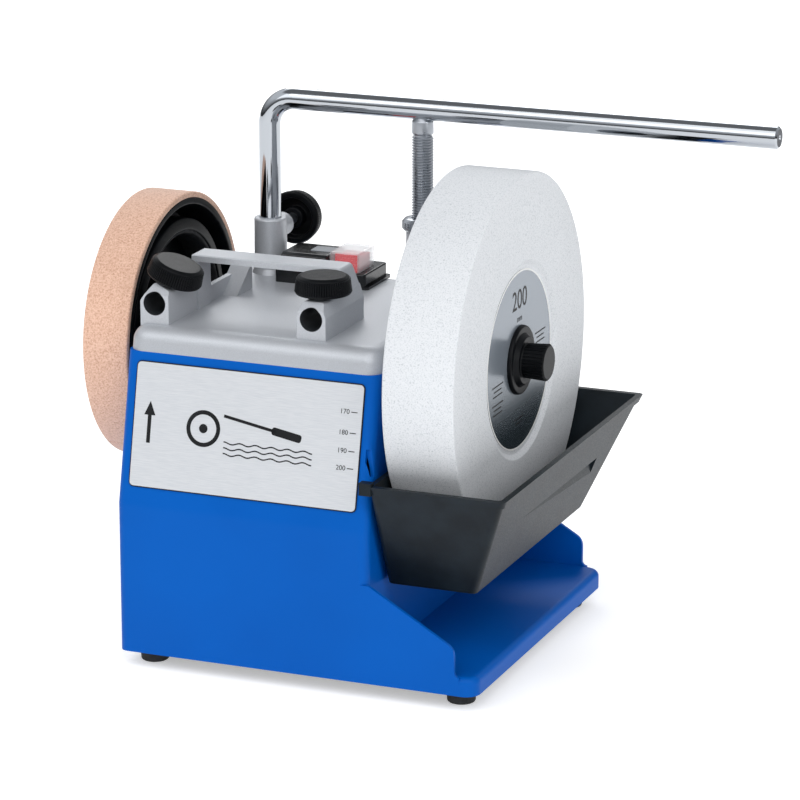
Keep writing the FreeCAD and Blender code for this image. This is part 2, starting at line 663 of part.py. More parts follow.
def make_switch_housing():
    """Splash-proof box on the cover, with a raised lid beside the rocker."""
    body = box(switch_x, switch_y, (cover_top_z, switch_top_z))
    body = rounded(body, 2.0, lambda e: direction(e) == "z")
    body = rounded(body, 1.0, lambda e: e.CenterOfMass.z > switch_top_z - 0.1)
    flange_x, flange_y = (switch_x[0], switch_x[1] + 1.8), (switch_y[0], switch_y[1] + 1.5)
    flange = box(flange_x, flange_y, (cover_top_z, cover_top_z + 1.6))
    flange = rounded(flange, 2.0, lambda e: direction(e) == "z")
    lid_low, lid_high = switch_top_z - 1.6, switch_top_z + 8.0
    lid_outline = [(30.6, lid_low), (30.6, lid_high - 1.2), (33.0, lid_high), (55.0, lid_high),
                   (58.0, lid_high - 2.6), (58.0, lid_low)]
    lid = rounded(prism_x(lid_outline, lid_x), 1.2, lambda e: e.CenterOfMass.z > switch_top_z + 4)
    core = box((switch_x[0] + 9, switch_x[1] - 6), (switch_y[0] + 5, switch_y[1] - 7), (160, cover_top_z + 1))
    pocket = box((rocker_x[0] - 0.8, rocker_x[1] + 0.8), (rocker_y[0] - 0.8, rocker_y[1] + 0.8), (184.5, 195))
    pin_x = (rocker_x[0] - 2.2, rocker_x[1] + 2.2)
    pin_hole = disc_x(rocker_pin_r + running_gap, pin_x, rocker_mid_y, rocker_pin_z)
    return joined(body, flange, lid, core).cut(pocket).cut(pin_hole)


def make_boot():
    """Clear cap over the rocker."""
    boot = box(boot_x, boot_y, (switch_top_z, boot_top_z))
    boot = rounded(boot, 1.2, lambda e: e.CenterOfMass.z > switch_top_z + 0.1)
    inner_x, inner_y = [(limits[0] + boot_wall, limits[1] - boot_wall) for limits in (boot_x, boot_y)]
    return boot.cut(box(inner_x, inner_y, (switch_top_z - 10, boot_top_z - boot_wall)))


def make_rocker():
    """Rocker with a dished top and a pivot pin at each side, tilted to its off position."""
    low, high = 187.6, 199.2
    outline = [(rocker_y[0], low), (rocker_y[0], high), (rocker_mid_y, high - 1.4),
               (rocker_y[1], high), (rocker_y[1], low), (rocker_mid_y, low - 1.6)]
    rocker = rounded(prism_x(outline, rocker_x), 0.8, lambda e: e.CenterOfMass.z > low + 1)
    pin = disc_x(rocker_pin_r, (rocker_x[0] - 2.0, rocker_x[1] + 2.0), rocker_mid_y, rocker_pin_z)
    rocker = joined(rocker, pin)
    rocker.rotate(Vec(0, rocker_mid_y, rocker_pin_z), X_AXIS, -rocker_tilt)
    return rocker


save("switch_housing", make_switch_housing())
save("switch_boot", make_boot())
save("switch_rocker", make_rocker())

# --- Motor and friction drive ---------------------------------------------------------------------

def make_stator():
    """Square stack of sheets with a round bore."""
    stack = box(stator_x, (-motor_half, motor_half), (motor_z - motor_half, motor_z + motor_half))
    stack = rounded(stack, 6.0, lambda e: direction(e) == "x")
    return stack.cut(disc_x(stator_bore_r, (stator_x[0] - 1, stator_x[1] + 1), 0.0, motor_z))


def make_windings():
    """Copper coil ends on both sides of the stator."""
    ends = [sorted((side * stator_x[1], side * (stator_x[1] + 12))) for side in (-1, 1)]
    return Part.makeCompound([tube_x(30.0, stator_bore_r + 1.0, x, 0.0, motor_z) for x in ends])


def make_bell(side):
    """End bell with a seat for its bearing."""
    bell = joined(disc_x(bell_r, sorted((side * stator_x[1], side * 38)), 0.0, motor_z),
                  cone(bell_r, 16.0, (side * 38, 0, motor_z), (side * 46, 0, motor_z)))
    hollow = disc_x(bell_r - 3.0, sorted((side * (stator_x[1] - 1), side * 37)), 0.0, motor_z)
    seat = disc_x(bearing_r, sorted((side * 36, side * 47)), 0.0, motor_z)
    return bell.cut(hollow).cut(seat)


def make_bearing(side):
    """Ball bearing of the motor, as one ring."""
    return tube_x(bearing_r, rotor_shaft_r + running_gap, sorted((side * 38.5, side * 45.5)), 0.0, motor_z)


save("motor_stator", make_stator())
save("motor_windings", make_windings())
for name, side in (("left", -1), ("right", 1)):
    save("motor_bell_" + name, make_bell(side))
    save("motor_bearing_" + name, make_bearing(side))
save("rotor_core", tube_x(rotor_r, rotor_shaft_r, (stator_x[0] + 2, stator_x[1] - 2), 0.0, motor_z))
thin_shaft = disc_x(rotor_shaft_r, (roller_x[0], fan_x[1] + 2), 0.0, motor_z)
save("motor_shaft", joined(thin_shaft, disc_x(roller_r, roller_x, 0.0, motor_z)))


def make_fan():
    """Cooling fan: a hub, a back plate and eight straight blades."""
    pieces = [tube_x(9.0, rotor_shaft_r, fan_x, 0.0, motor_z),
              tube_x(26.0, 8.0, (fan_x[0], fan_x[0] + 1.5), 0.0, motor_z)]
    for count in range(8):
        blade = box((fan_x[0] + 0.5, fan_x[1]), (-0.8, 0.8), (motor_z + 8.0, motor_z + 26.0))
        blade.rotate(Vec(0, 0, motor_z), X_AXIS, 45 * count)
        pieces.append(blade)
    return joined(*pieces)


save("motor_fan", make_fan())

def make_cradle():
    """Folded cradle that carries the motor and swings on the pivot rod."""
    back = (motor_half + 1, motor_half + 4)
    pieces = [box((-30, 30), (-52, back[1]), (cradle_z, cradle_z + 3)),
              box((-46.5, 46.5), back, (cradle_z, motor_z + 14))]
    for side in (-1, 1):
        x = sorted((side * 46.5, side * 49.0))
        pieces += [box(x, (back[0], pivot_y), (pivot_z - 8, pivot_z + 8)), disc_x(8.0, x, pivot_y, pivot_z)]
    return joined(*pieces).cut(disc_x(pivot_r + running_gap, (-60, 60), pivot_y, pivot_z))


def make_spring():
    """Compression spring that presses the roller up into the drive wheel."""
    low, high = foot_height + plate_thick, cradle_z
    helix = Part.makeHelix(7.0, high - low - 2.0, 4.5)
    wire = Part.Wire(Part.makeCircle(0.8, Vec(4.5, 0, 0), Y_AXIS))
    spring = Part.Wire(helix).makePipeShell([wire], True, True)
    spring.translate(Vec(0, -46.0, low + 1.0))
    return spring


def make_clip():
    """Strap that holds the capacitor on the bottom plate."""
    strap = tube_x(capacitor_r + 1.2, capacitor_r, (-8, 8), capacitor_y, capacitor_z)
    foot_z = (foot_height + plate_thick, capacitor_z - capacitor_r - 0.8)
    foot = box((-8, 8), (capacitor_y - 2, capacitor_y + 2), foot_z)
    return strap.fuse(foot).removeSplitter()


save("motor_cradle", make_cradle())
save("pivot_rod", disc_x(pivot_r, (sheet - half_width, half_width - sheet), pivot_y, pivot_z))
save("motor_spring", make_spring())
save("run_capacitor", disc_x(capacitor_r, (-30, 30), capacitor_y, capacitor_z))
save("capacitor_clip", make_clip())

# --- Water trough ---------------------------------------------------------------------------------


def trough_solid(inset, floor_z, rim_height, corner):
    """Tapered block of the trough's shape, moved inwards by an inset."""
    left = trough_x[0] + inset
    rim_half, floor_half = trough_y[0] - inset, trough_y[1] - inset
    low = rectangle((left, trough_x[2] - inset), (-floor_half, floor_half), floor_z, corner)
    high = rectangle((left, trough_x[1] - inset), (-rim_half, rim_half), rim_height, corner)
    return Part.makeLoft([low, high], True, True)


def grip_wedge(grow):
    """Hand grip in the right wall: a hollow that gets deeper towards the back."""
    y = (-60.0 - 8 * grow, 66.0 + grow)
    z = (82.0 - grow, 91.0 + grow)
    depth = (137.2 - grow, 133.4 - grow)
    outside = trough_x[1] + 12
    points = [Vec(depth[0], y[0], z[0]), Vec(depth[1], y[1], z[0]),
              Vec(outside, y[1], z[0]), Vec(outside, y[0], z[0])]
    return Part.Face(Part.makePolygon(points + points[:1])).extrude(Vec(0, 0, z[1] - z[0]))


def make_trough():
    """Open plastic trough with a thick rim and two ears that reach round the housing's corners."""
    outer = trough_solid(0.0, trough_z[0], trough_z[1], 3.0)
    outer = rounded(outer, 1.5, lambda e: e.CenterOfMass.z < trough_z[0] + 0.1)
    outer = outer.cut(grip_wedge(0.0))
    lip = trough_solid(-1.2, trough_z[0], trough_z[1], 3.0)
    lip = lip.common(box((73.4, 200), (-200, 200), (trough_z[1] - 4.0, trough_z[1] + 1)))
    ear_z = (trough_z[1] - 5.0, trough_z[1] + 1.6)
    ears = [box((69.4, 76.0), sorted((side * 104.6, side * 109.5)), ear_z) for side in (-1, 1)]
    inner = trough_solid(trough_wall, trough_z[0] + trough_wall, trough_z[1] + 0.01, 2.0)
    inner = inner.cut(grip_wedge(trough_wall))
    above = box((trough_x[0] + trough_wall, trough_x[1] - trough_wall),
                (trough_wall - trough_y[0], trough_y[0] - trough_wall), (trough_z[1], trough_z[1] + 10))
    return joined(outer, lip, *ears).cut(inner).cut(above)


save("water_trough", make_trough())
magnets = [disc_x(7.0, (half_width + 0.3, trough_x[0]), y, 98.0) for y in (-62.0, 62.0)]
save("trough_magnets", Part.makeCompound(magnets))

# --- Export ---------------------------------------------------------------------------------------

os.makedirs("parts", exist_ok=True)
for name, shape in parts.items():
    solids = shape.Solids
    if not solids or not all(solid.isValid() for solid in solids):
        print("PROBLEM in", name)
    shape = solids[0] if len(solids) == 1 else Part.makeCompound(solids)
    shape.translate(Vec(-frame_x, 0, 0))
    shape.exportStep("parts/" + name + ".step")
    limits = shape.BoundBox
    print(f"{name:24s} solids {len(solids)}  volume {shape.Volume / 1000:8.2f} cm3  "
          f"x {limits.XMin:.1f}..{limits.XMax:.1f}  y {limits.YMin:.1f}..{limits.YMax:.1f}  "
          f"z {limits.ZMin:.1f}..{limits.ZMax:.1f}")
print(len(parts), "nodes")
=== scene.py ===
# %% [markdown]
# # A wet grinding sharpener
# The machine is a folded steel housing with a cast cover, a slow grindstone on the right and a leather
# honing wheel on the left. A imported CAD model gives every place and size. This lesson dresses it.
# We load that model first.

# %% Load the frame
import json
import math

import bmesh
import bpy
from mathutils import Matrix, Vector


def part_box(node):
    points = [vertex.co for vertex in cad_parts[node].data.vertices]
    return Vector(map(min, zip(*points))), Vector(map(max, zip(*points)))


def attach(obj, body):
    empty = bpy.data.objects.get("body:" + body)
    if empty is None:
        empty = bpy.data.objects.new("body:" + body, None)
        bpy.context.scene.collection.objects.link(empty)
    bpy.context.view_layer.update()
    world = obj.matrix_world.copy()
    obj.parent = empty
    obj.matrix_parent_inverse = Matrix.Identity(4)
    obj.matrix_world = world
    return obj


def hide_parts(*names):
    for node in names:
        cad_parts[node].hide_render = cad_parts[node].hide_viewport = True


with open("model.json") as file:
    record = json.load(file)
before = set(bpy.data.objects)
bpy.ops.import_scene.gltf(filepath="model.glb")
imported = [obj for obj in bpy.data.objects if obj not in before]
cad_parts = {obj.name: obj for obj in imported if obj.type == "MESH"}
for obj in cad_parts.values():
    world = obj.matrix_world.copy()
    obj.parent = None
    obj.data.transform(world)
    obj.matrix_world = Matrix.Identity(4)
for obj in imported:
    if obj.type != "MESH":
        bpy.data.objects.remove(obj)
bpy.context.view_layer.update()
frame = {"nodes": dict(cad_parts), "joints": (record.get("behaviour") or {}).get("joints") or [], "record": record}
MM = 0.001

# %% [markdown]
# ## Landmarks
# A maker works from a few datum lines. Ours come from the CAD model: the main shaft's height, the faces
# of the stone and the wheel, the two upright collars and the bar. Everything below is placed from these.


# %% Datum lines, in millimetres
def span(node):
    """Lowest and highest corner of a CAD node, in millimetres."""
    low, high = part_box(node)
    return low / MM, high / MM


stone_low, stone_high = span("grindstone")
wheel_low, wheel_high = span("honing_leather")
SHAFT_Z = (stone_low.z + stone_high.z) / 2
STONE_R = (stone_high.z - stone_low.z) / 2
WHEEL_R = (wheel_high.z - wheel_low.z) / 2
bar_low, bar_high = span("support_bar")
leg_low, leg_high = span("threaded_leg")
BAR_R = (bar_high.y - bar_low.y) / 2
BAR_Z = leg_high.z
BAR_Y = (bar_high.y + bar_low.y) / 2
LEFT_LEG_X = bar_low.x + BAR_R
RIGHT_LEG_X = (leg_low.x + leg_high.x) / 2
sleeve_mounts = [m for m in frame["record"]["mounts"] if m["name"].startswith("sleeve")]
sleeves = [Vector(m["pos_m"]) / MM for m in sleeve_mounts]
SLEEVE_END = sleeves[0].y + max(m["dims"]["length_mm"] for m in sleeve_mounts) + 2.0
SLEEVE_MID, SLEEVE_Z = (sleeves[0].x + sleeves[1].x) / 2, sleeves[0].z
SLEEVE_HALF = abs(sleeves[1].x - sleeves[0].x) / 2
BORE_REACH = 6.3
print("shaft height", round(SHAFT_Z, 1), "stone radius", round(STONE_R, 1), "bar height", round(BAR_Z, 1))

# %% [markdown]
# ## Camera
# The machine is seen from the front right and a little above, from far away with a long lens, so that
# upright edges stay nearly parallel. A target point and two angles are easier to read than a rotation.

# %% Camera
TURN, RAISE = math.radians(21.95), math.radians(15.88)
TARGET, DISTANCE = Vector((-0.01292, 0.0, 0.13172)), 2.10748
ahead = Vector((-math.sin(TURN) * math.cos(RAISE), math.cos(TURN) * math.cos(RAISE), -math.sin(RAISE)))
lens = bpy.data.cameras.new("camera")
lens.lens, lens.sensor_width = 177.48, 36.0
lens.clip_start, lens.clip_end = 0.1, 50.0
camera = bpy.data.objects.new("camera", lens)
camera.location = TARGET - ahead * DISTANCE
camera.rotation_euler = ahead.to_track_quat("-Z", "Y").to_euler()
bpy.context.scene.collection.objects.link(camera)
bpy.context.scene.camera = camera

# %% [markdown]
# ## A helper for materials
# Colours are chosen as the hex codes of a paint chart, but light adds up in linear values, so one
# function turns the first into the second. A second one adds a node, sets its sockets and links it.


# %% Colour and node helpers
def paint(code):
    """Linear colour with alpha from an sRGB hex code."""
    channels = [int(code[i:i + 2], 16) / 255 for i in (0, 2, 4)]
    return tuple(c / 12.92 if c <= 0.04045 else ((c + 0.055) / 1.055) ** 2.4 for c in channels) + (1.0,)


def add(tree, kind, sockets=None, **settings):
    """Adds a shader node. A socket's value is either a constant or the output that feeds it."""
    node = tree.nodes.new("ShaderNode" + kind)
    for name, value in settings.items():
        setattr(node, name, value)
    for name, value in (sockets or {}).items():
        if isinstance(value, bpy.types.NodeSocket):
            tree.links.new(value, node.inputs[name])
        else:
            node.inputs[name].default_value = value
    return node


def finish(name, base, roughness, **shader):
    """A material with a Principled shader; returns it with its tree, its shader and its coordinates."""
    material = bpy.data.materials.new(name)
    material.use_nodes = True
    tree = material.node_tree
    surface = tree.nodes["Principled BSDF"]
    surface.inputs["Base Color"].default_value = paint(base)
    surface.inputs["Roughness"].default_value = roughness
    for socket, value in shader.items():
        surface.inputs[socket.replace("_", " ")].default_value = value
    place = add(tree, "TexCoord").outputs["Object"]
    return material, tree, surface, place


def grain(tree, place, size_mm, detail=2.0, stretch=(1.0, 1.0, 1.0)):
    """Noise whose bumps are about size_mm apart, longer along an axis where stretch is above 1."""
    squeezed = add(tree, "Mapping", {"Vector": place, "Scale": tuple(1.0 / s for s in stretch)})
    sockets = {"Vector": squeezed.outputs["Vector"], "Scale": 1.0 / (size_mm * MM), "Detail": detail}
    return add(tree, "TexNoise", sockets)


def calc(tree, operation, *values):
    """Result of a math node."""
    return add(tree, "Math", dict(enumerate(values)), operation=operation).outputs["Value"]


def remap(tree, value, start, end, low, high):
    """Runs from low to high while value goes from start to end."""
    return add(tree, "MapRange", {"Value": value, "From Min": start, "From Max": end,
                                  "To Min": low, "To Max": high}).outputs["Result"]


def tint(tree, surface, factor, dark, light, low=0.35, high=0.65):
    """Runs the base colour from dark to light as factor goes from low to high."""
    ramp = add(tree, "ValToRGB", {"Fac": factor})
    ramp.color_ramp.elements[0].position, ramp.color_ramp.elements[0].color = low, paint(dark)
    ramp.color_ramp.elements[1].position, ramp.color_ramp.elements[1].color = high, paint(light)
    tree.links.new(ramp.outputs["Color"], surface.inputs["Base Color"])
    return ramp


def relief(tree, surface, height, depth_mm, strength=1.0):
    """Bump of a given depth in millimetres."""
    bump = add(tree, "Bump", {"Height": height, "Distance": depth_mm * MM, "Strength": strength})
    tree.links.new(bump.outputs["Normal"], surface.inputs["Normal"])


def vary_gloss(tree, surface, factor, low, high):
    """Lets roughness wander between two values."""
    tree.links.new(remap(tree, factor, 0.3, 0.7, low, high), surface.inputs["Roughness"])


# %% [markdown]
# ## Metals and paints
# The housing is powder coated steel. Powder melts into a skin with faint orange peel, about a
# millimetre and a half from crest to crest. The cover is zinc cast and sprayed silver, so it is
# neither a bare metal nor a flat grey. Its two front sleeves are bored, and the shade inside their bores is
# painted on as a dark grey. The bar is ground and chromed, and mirrors the room.


# %% Powder coat and cast alloy
def powder_coated_steel():
    """Satin blue powder: an even colour whose skin ripples slightly."""
    material, tree, surface, place = finish("powder_coated_steel", "0056b0", 0.42, Specular_IOR_Level=0.08)
    peel = grain(tree, place, 1.6)
    relief(tree, surface, peel.outputs["Fac"], 0.03, 0.5)
    cloud = grain(tree, place, 70.0)
    tint(tree, surface, cloud.outputs["Fac"], "0055ae", "0059b4")
    vary_gloss(tree, surface, cloud.outputs["Fac"], 0.38, 0.43)
    return material


def in_sleeves(tree, place):
    """1 within the bores of the two front sleeves, where shade is painted, and 0 elsewhere."""
    where = add(tree, "SeparateXYZ", {"Vector": place})
    from_middle = calc(tree, "ABSOLUTE", calc(tree, "SUBTRACT", where.outputs["X"], SLEEVE_MID * MM))
    aside = calc(tree, "SUBTRACT", from_middle, SLEEVE_HALF * MM)
    above = calc(tree, "SUBTRACT", where.outputs["Z"], SLEEVE_Z * MM)
    offset = add(tree, "CombineXYZ", {"X": aside, "Z": above})
    radius = add(tree, "VectorMath", {0: offset.outputs["Vector"]}, operation="LENGTH")
    inside = calc(tree, "LESS_THAN", radius.outputs["Value"], BORE_REACH * MM)
    ahead = calc(tree, "LESS_THAN", where.outputs["Y"], SLEEVE_END * MM)
    return calc(tree, "MULTIPLY", inside, ahead)


def silver_sprayed_casting():
    """Sprayed silver over a sand-fine casting: fine flake sparkles, and the skin is slightly pebbled."""
    material, tree, surface, place = finish("silver_sprayed_casting", "b6b9be", 0.45, Metallic=0.4)
    flake = grain(tree, place, 0.4, 3.0)
    silver = tint(tree, surface, flake.outputs["Fac"], "b0b3b8", "bfc2c7", 0.3, 0.7)
    # Painted shade: the insides of the sleeve bores are coloured dark grey.
    bore_shade = add(tree, "Mix", {"Factor": in_sleeves(tree, place), 6: silver.outputs["Color"], 7: paint("3c3f43")},
               data_type="RGBA")
    tree.links.new(bore_shade.outputs[2], surface.inputs["Base Color"])
    pebble = grain(tree, place, 1.3, 3.0)
    relief(tree, surface, pebble.outputs["Fac"], 0.025, 0.4)
    vary_gloss(tree, surface, pebble.outputs["Fac"], 0.38, 0.46)
    return material


BLUE = powder_coated_steel()
CAST = silver_sprayed_casting()


# %% Bare and plated steels
def polished_chrome():
    """Chrome on a ground bar: nearly a mirror, with hairlines round it from the grinding wheel."""
    material, tree, surface, place = finish("polished_chrome", "b9bdc2", 0.07, Metallic=1.0)
    hairline = grain(tree, place, 0.25, 2.0, (1.0, 40.0, 40.0))
    relief(tree, surface, hairline.outputs["Fac"], 0.004, 0.35)
    smear = grain(tree, place, 18.0)
    vary_gloss(tree, surface, smear.outputs["Fac"], 0.05, 0.1)
    return material


def turned_steel():
    """Steel straight from the lathe, with fine tool marks across its axis."""
    material, tree, surface, place = finish("turned_steel", "a9adb3", 0.28, Metallic=1.0)
    marks = grain(tree, place, 0.3, 2.0)
    relief(tree, surface, marks.outputs["Fac"], 0.01, 0.5)
    vary_gloss(tree, surface, grain(tree, place, 7.0).outputs["Fac"], 0.24, 0.36)
    return material


def zinc_plated_steel():
    """Bright zinc: bluish grey with cloudy patches from the bath."""
    material, tree, surface, place = finish("zinc_plated_steel", "a4abb3", 0.34, Metallic=1.0)
    bath = grain(tree, place, 4.0, 3.0)
    tint(tree, surface, bath.outputs["Fac"], "949ba5", "b8bdc2")
    vary_gloss(tree, surface, bath.outputs["Fac"], 0.28, 0.42)
    return material


def brushed_aluminium():
    """Aluminium sheet brushed along its length: hairs 0.3 mm apart, drawn coarse enough to show."""
    material, tree, surface, place = finish("brushed_aluminium", "d8dadd", 0.36, Metallic=0.35)
    hairs = grain(tree, place, 0.3, 2.0, (25.0, 1.0, 1.0))
    tint(tree, surface, hairs.outputs["Fac"], "d2d5d9", "dcdee1")
    relief(tree, surface, hairs.outputs["Fac"], 0.004, 0.3)
    return material


def black_coated_steel():
    """Satin black coat on a pressing, slightly uneven."""
    material, tree, surface, place = finish("black_coated_steel", "26282c", 0.45)
    skin = grain(tree, place, 1.4)
    relief(tree, surface, skin.outputs["Fac"], 0.03, 0.5)
    tint(tree, surface, grain(tree, place, 20.0).outputs["Fac"], "222428", "2d2f34")
    return material


def stacked_core_steel():
    """Electrical sheets stacked along the shaft, half a millimetre each, oiled and dark."""
    material, tree, surface, place = finish("stacked_core_steel", "5f6267", 0.5, Metallic=0.8)
    stack = add(tree, "TexWave", {"Vector": place, "Scale": 0.05 / (0.5 * MM), "Distortion": 0.2},
                bands_direction="X")
    relief(tree, surface, stack.outputs["Fac"], 0.05, 0.6)
    tint(tree, surface, grain(tree, place, 9.0).outputs["Fac"], "4f5257", "6f7277")
    return material


def enamelled_copper():
    """Wound wire under red-brown enamel: strands 0.6 mm apart."""
    material, tree, surface, place = finish("enamelled_copper", "9c4f2a", 0.3, Metallic=0.9, Coat_Weight=0.6)
    strands = add(tree, "TexWave", {"Vector": place, "Scale": 0.05 / (0.6 * MM), "Distortion": 3.0},
                  bands_direction="Z")
    relief(tree, surface, strands.outputs["Fac"], 0.2, 0.8)
    tint(tree, surface, grain(tree, place, 3.0).outputs["Fac"], "8a4222", "b0623a")
    return material


CHROME, TURNED, ZINC = polished_chrome(), turned_steel(), zinc_plated_steel()
BRUSHED, BLACK_STEEL = brushed_aluminium(), black_coated_steel()
CORE, COPPER = stacked_core_steel(), enamelled_copper()

# %% [markdown]
# ## Stone and leather
# The stone is aluminium oxide grain, 220 grit, held by a ceramic bond. Dry, it is nearly white, with
# pores and darker grains. Real grains are 0.06 mm and would vanish at this distance, so they are drawn
# about ten times larger. The leather is the rough side of a thick hide, tan with a cloudy nap.


# %% Stone and leather
def vitrified_stone():
    """Ceramic-bonded grit: matte, almost white, peppered with darker grains and small pores."""
    material, tree, surface, place = finish("vitrified_stone", "d3d5d8", 0.88, Specular_IOR_Level=0.3)
    grit = grain(tree, place, 0.7, 5.0)
    ramp = tint(tree, surface, grit.outputs["Fac"], "bbbfc3", "dfe1e4", 0.3, 0.56)
    ramp.color_ramp.elements.new(0.43).color = paint("d7dadd")
    pores = add(tree, "TexVoronoi", {"Vector": place, "Scale": 1.0 / (1.3 * MM)})
    both = add(tree, "Math", {0: grit.outputs["Fac"], 1: pores.outputs["Distance"]}, operation="ADD")
    relief(tree, surface, both.outputs["Value"], 0.12, 0.7)
    return material


def split_leather():
    """Flesh side of vegetable-tanned hide: warm tan, fibrous, with clouds a few centimetres wide."""
    material, tree, surface, place = finish("split_leather", "dbb095", 0.82,
                                            Sheen_Weight=0.25, Sheen_Roughness=0.5)
    nap = grain(tree, place, 0.9, 5.0)
    ramp = tint(tree, surface, nap.outputs["Fac"], "bc8a70", "efcbb5", 0.25, 0.75)
    ramp.color_ramp.elements.new(0.5).color = paint("deb49c")
    cells = add(tree, "TexVoronoi", {"Vector": place, "Scale": 1.0 / (1.6 * MM)})
    both = add(tree, "Math", {0: nap.outputs["Fac"], 1: cells.outputs["Distance"]}, operation="ADD")
    relief(tree, surface, both.outputs["Value"], 0.18, 0.7)
    return material


STONE, LEATHER = vitrified_stone(), split_leather()

# %% [markdown]
# ## Plastics and rubber
# The knobs, nuts and wheel bodies are moulded in a spark-eroded tool, which leaves a fine matte
# texture. The trough is a greyer, tougher plastic. The rocker is glossy, and a clear hood covers it.


# %% Plastics and rubber
def moulded_plastic(name, dark, light, roughness, texture_mm=0.45, specular=0.25):
    """Moulded plastic with a spark-eroded skin."""
    material, tree, surface, place = finish(name, dark, roughness, Specular_IOR_Level=specular)
    skin = grain(tree, place, texture_mm, 2.0)
    relief(tree, surface, skin.outputs["Fac"], 0.03, 0.5)
    tint(tree, surface, grain(tree, place, 16.0, 3.0).outputs["Fac"], dark, light)
    vary_gloss(tree, surface, skin.outputs["Fac"], roughness - 0.05, roughness + 0.07)
    return material


def clear_polycarbonate():
    """Thin clear hood: glossy, with almost no texture. It is clearest where one looks straight through."""
    material, tree, surface, place = finish("clear_polycarbonate", "f6f8fa", 0.06)
    slant = add(tree, "LayerWeight", {"Blend": 0.5}).outputs["Facing"]
    tree.links.new(remap(tree, slant, 0.2, 0.9, 0.08, 0.6), surface.inputs["Alpha"])
    wave = grain(tree, place, 6.0)
    relief(tree, surface, wave.outputs["Fac"], 0.02, 0.3)
    return material


def vulcanised_rubber():
    """Black rubber, dull and slightly dusty."""
    material, tree, surface, place = finish("vulcanised_rubber", "1b1c1e", 0.78)
    dust = grain(tree, place, 5.0, 4.0)
    tint(tree, surface, dust.outputs["Fac"], "161719", "292a2c")
    relief(tree, surface, grain(tree, place, 0.4).outputs["Fac"], 0.04, 0.6)
    return material


BLACK = moulded_plastic("black_nylon", "06080a", "0c0e11", 0.36, specular=0.12)
GLOSS = moulded_plastic("glossy_abs", "06080a", "0b0d10", 0.2, 1.2, 0.5)
GREY = moulded_plastic("grey_abs", "7f8388", "90949a", 0.4)
RED = moulded_plastic("red_rocker_plastic", "e01c2a", "ec2c38", 0.22, 1.2, 0.5)
TROUGH = moulded_plastic("charcoal_polypropylene", "0f161b", "172026", 0.42, 0.8, 0.2)
CLEAR, RUBBER = clear_polycarbonate(), vulcanised_rubber()
INK = moulded_plastic("screen_ink", "0c0d0f", "141518", 0.5, 0.6)
PRINT = moulded_plastic("laminated_print", "a4a8ad", "b6b9be", 0.34, 0.7)

FINISH_OF_SLOT = {
    "blue_paint": BLUE, "dark_steel": BLACK_STEEL, "cast_alloy": CAST, "label_metal": BRUSHED,
    "foot_rubber": RUBBER, "zinc_steel": ZINC, "black_plastic": BLACK, "grey_plastic": GREY,
    "black_gloss": GLOSS, "clear_plastic": CLEAR, "bright_steel": TURNED, "stone": STONE,
    "label_print": PRINT, "leather": LEATHER, "drive_rubber": RUBBER, "chrome_bar": CHROME,
    "knob_plastic": BLACK, "red_plastic": RED, "trough_plastic": TROUGH, "core_steel": CORE, "copper": COPPER,
}
for part in frame["record"]["subparts"]:
    node = frame["nodes"][part["node"]]
    node.data.materials.clear()
    node.data.materials.append(FINISH_OF_SLOT[part["material_slot"]])

# %% [markdown]
# ## Tools of the bench
# Most of this machine's visible parts were turned, so most pieces start as an outline that is spun
# round a line. Sharp outlines look like paper models: every real edge has a small radius that catches
# light. One helper rounds an outline's corners, one spins it, and one turns a bmesh into a piece.


# %% Outline, lathe and finishing helpers
def softened(corners, parts=4):
    """Closed outline with rounded corners, from (along, radius, rounding) in millimetres."""
    outline = []
    for index, (along, radius, size) in enumerate(corners):
        here = Vector((along, radius))
        if size == 0:
            outline.append(here)
            continue
        back = (Vector(corners[index - 1][:2]) - here).normalized()
        forth = (Vector(corners[(index + 1) % len(corners)][:2]) - here).normalized()
        half = back.angle(forth) / 2
        centre = here + (back + forth).normalized() * (size / math.sin(half))
        start = here + back * (size / math.tan(half)) - centre
        end = here + forth * (size / math.tan(half)) - centre
        outline += [centre + start.slerp(end, step / parts) for step in range(parts + 1)]
    return outline


def lathe(outline, steps=96):
    """Spins a closed outline of (along, radius) round +X. Points on the axis close the shape."""
    bm = bmesh.new()
    points = [bm.verts.new((along * MM, 0.0, radius * MM)) for along, radius in outline]
    rim = [bm.edges.new((a, b)) for a, b in zip(points, points[1:] + points[:1])]
    bmesh.ops.spin(bm, geom=points + rim, cent=(0, 0, 0), axis=(1, 0, 0), dvec=(0, 0, 0),
                   angle=2 * math.pi, steps=steps, use_merge=True, use_normal_flip=False, use_duplicate=False)
    bmesh.ops.remove_doubles(bm, verts=bm.verts, dist=1e-6)
    lines = [e for e in bm.edges if not e.link_faces]
    bmesh.ops.delete(bm, geom=lines, context="EDGES")
    bmesh.ops.recalc_face_normals(bm, faces=bm.faces)
    return bm


def aim(bm, origin, axis=(1, 0, 0)):
    """Puts a shape made round +X at the origin onto a point, in millimetres, and an axis."""
    turn = Vector((1, 0, 0)).rotation_difference(Vector(axis)).to_matrix().to_4x4()
    bmesh.ops.transform(bm, matrix=Matrix.Translation(Vector(origin) * MM) @ turn, verts=bm.verts)
    return bm


def piece(bm, name, body, material, stands_for=(), crease=40.0):
    """Makes the shape an object that rides on a body. Edges sharper than crease stay sharp."""
    mesh = bpy.data.meshes.new(name)
    bm.to_mesh(mesh)
    bm.free()
    mesh.polygons.foreach_set("use_smooth", [True] * len(mesh.polygons))
    mesh.set_sharp_from_angle(angle=math.radians(crease))
    mesh.materials.append(material)
    made = bpy.data.objects.new(name, mesh)
    bpy.context.scene.collection.objects.link(made)
    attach(made, body)
    if stands_for:
        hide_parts(*stands_for)
    print(name, len(mesh.polygons), "faces")
    return made


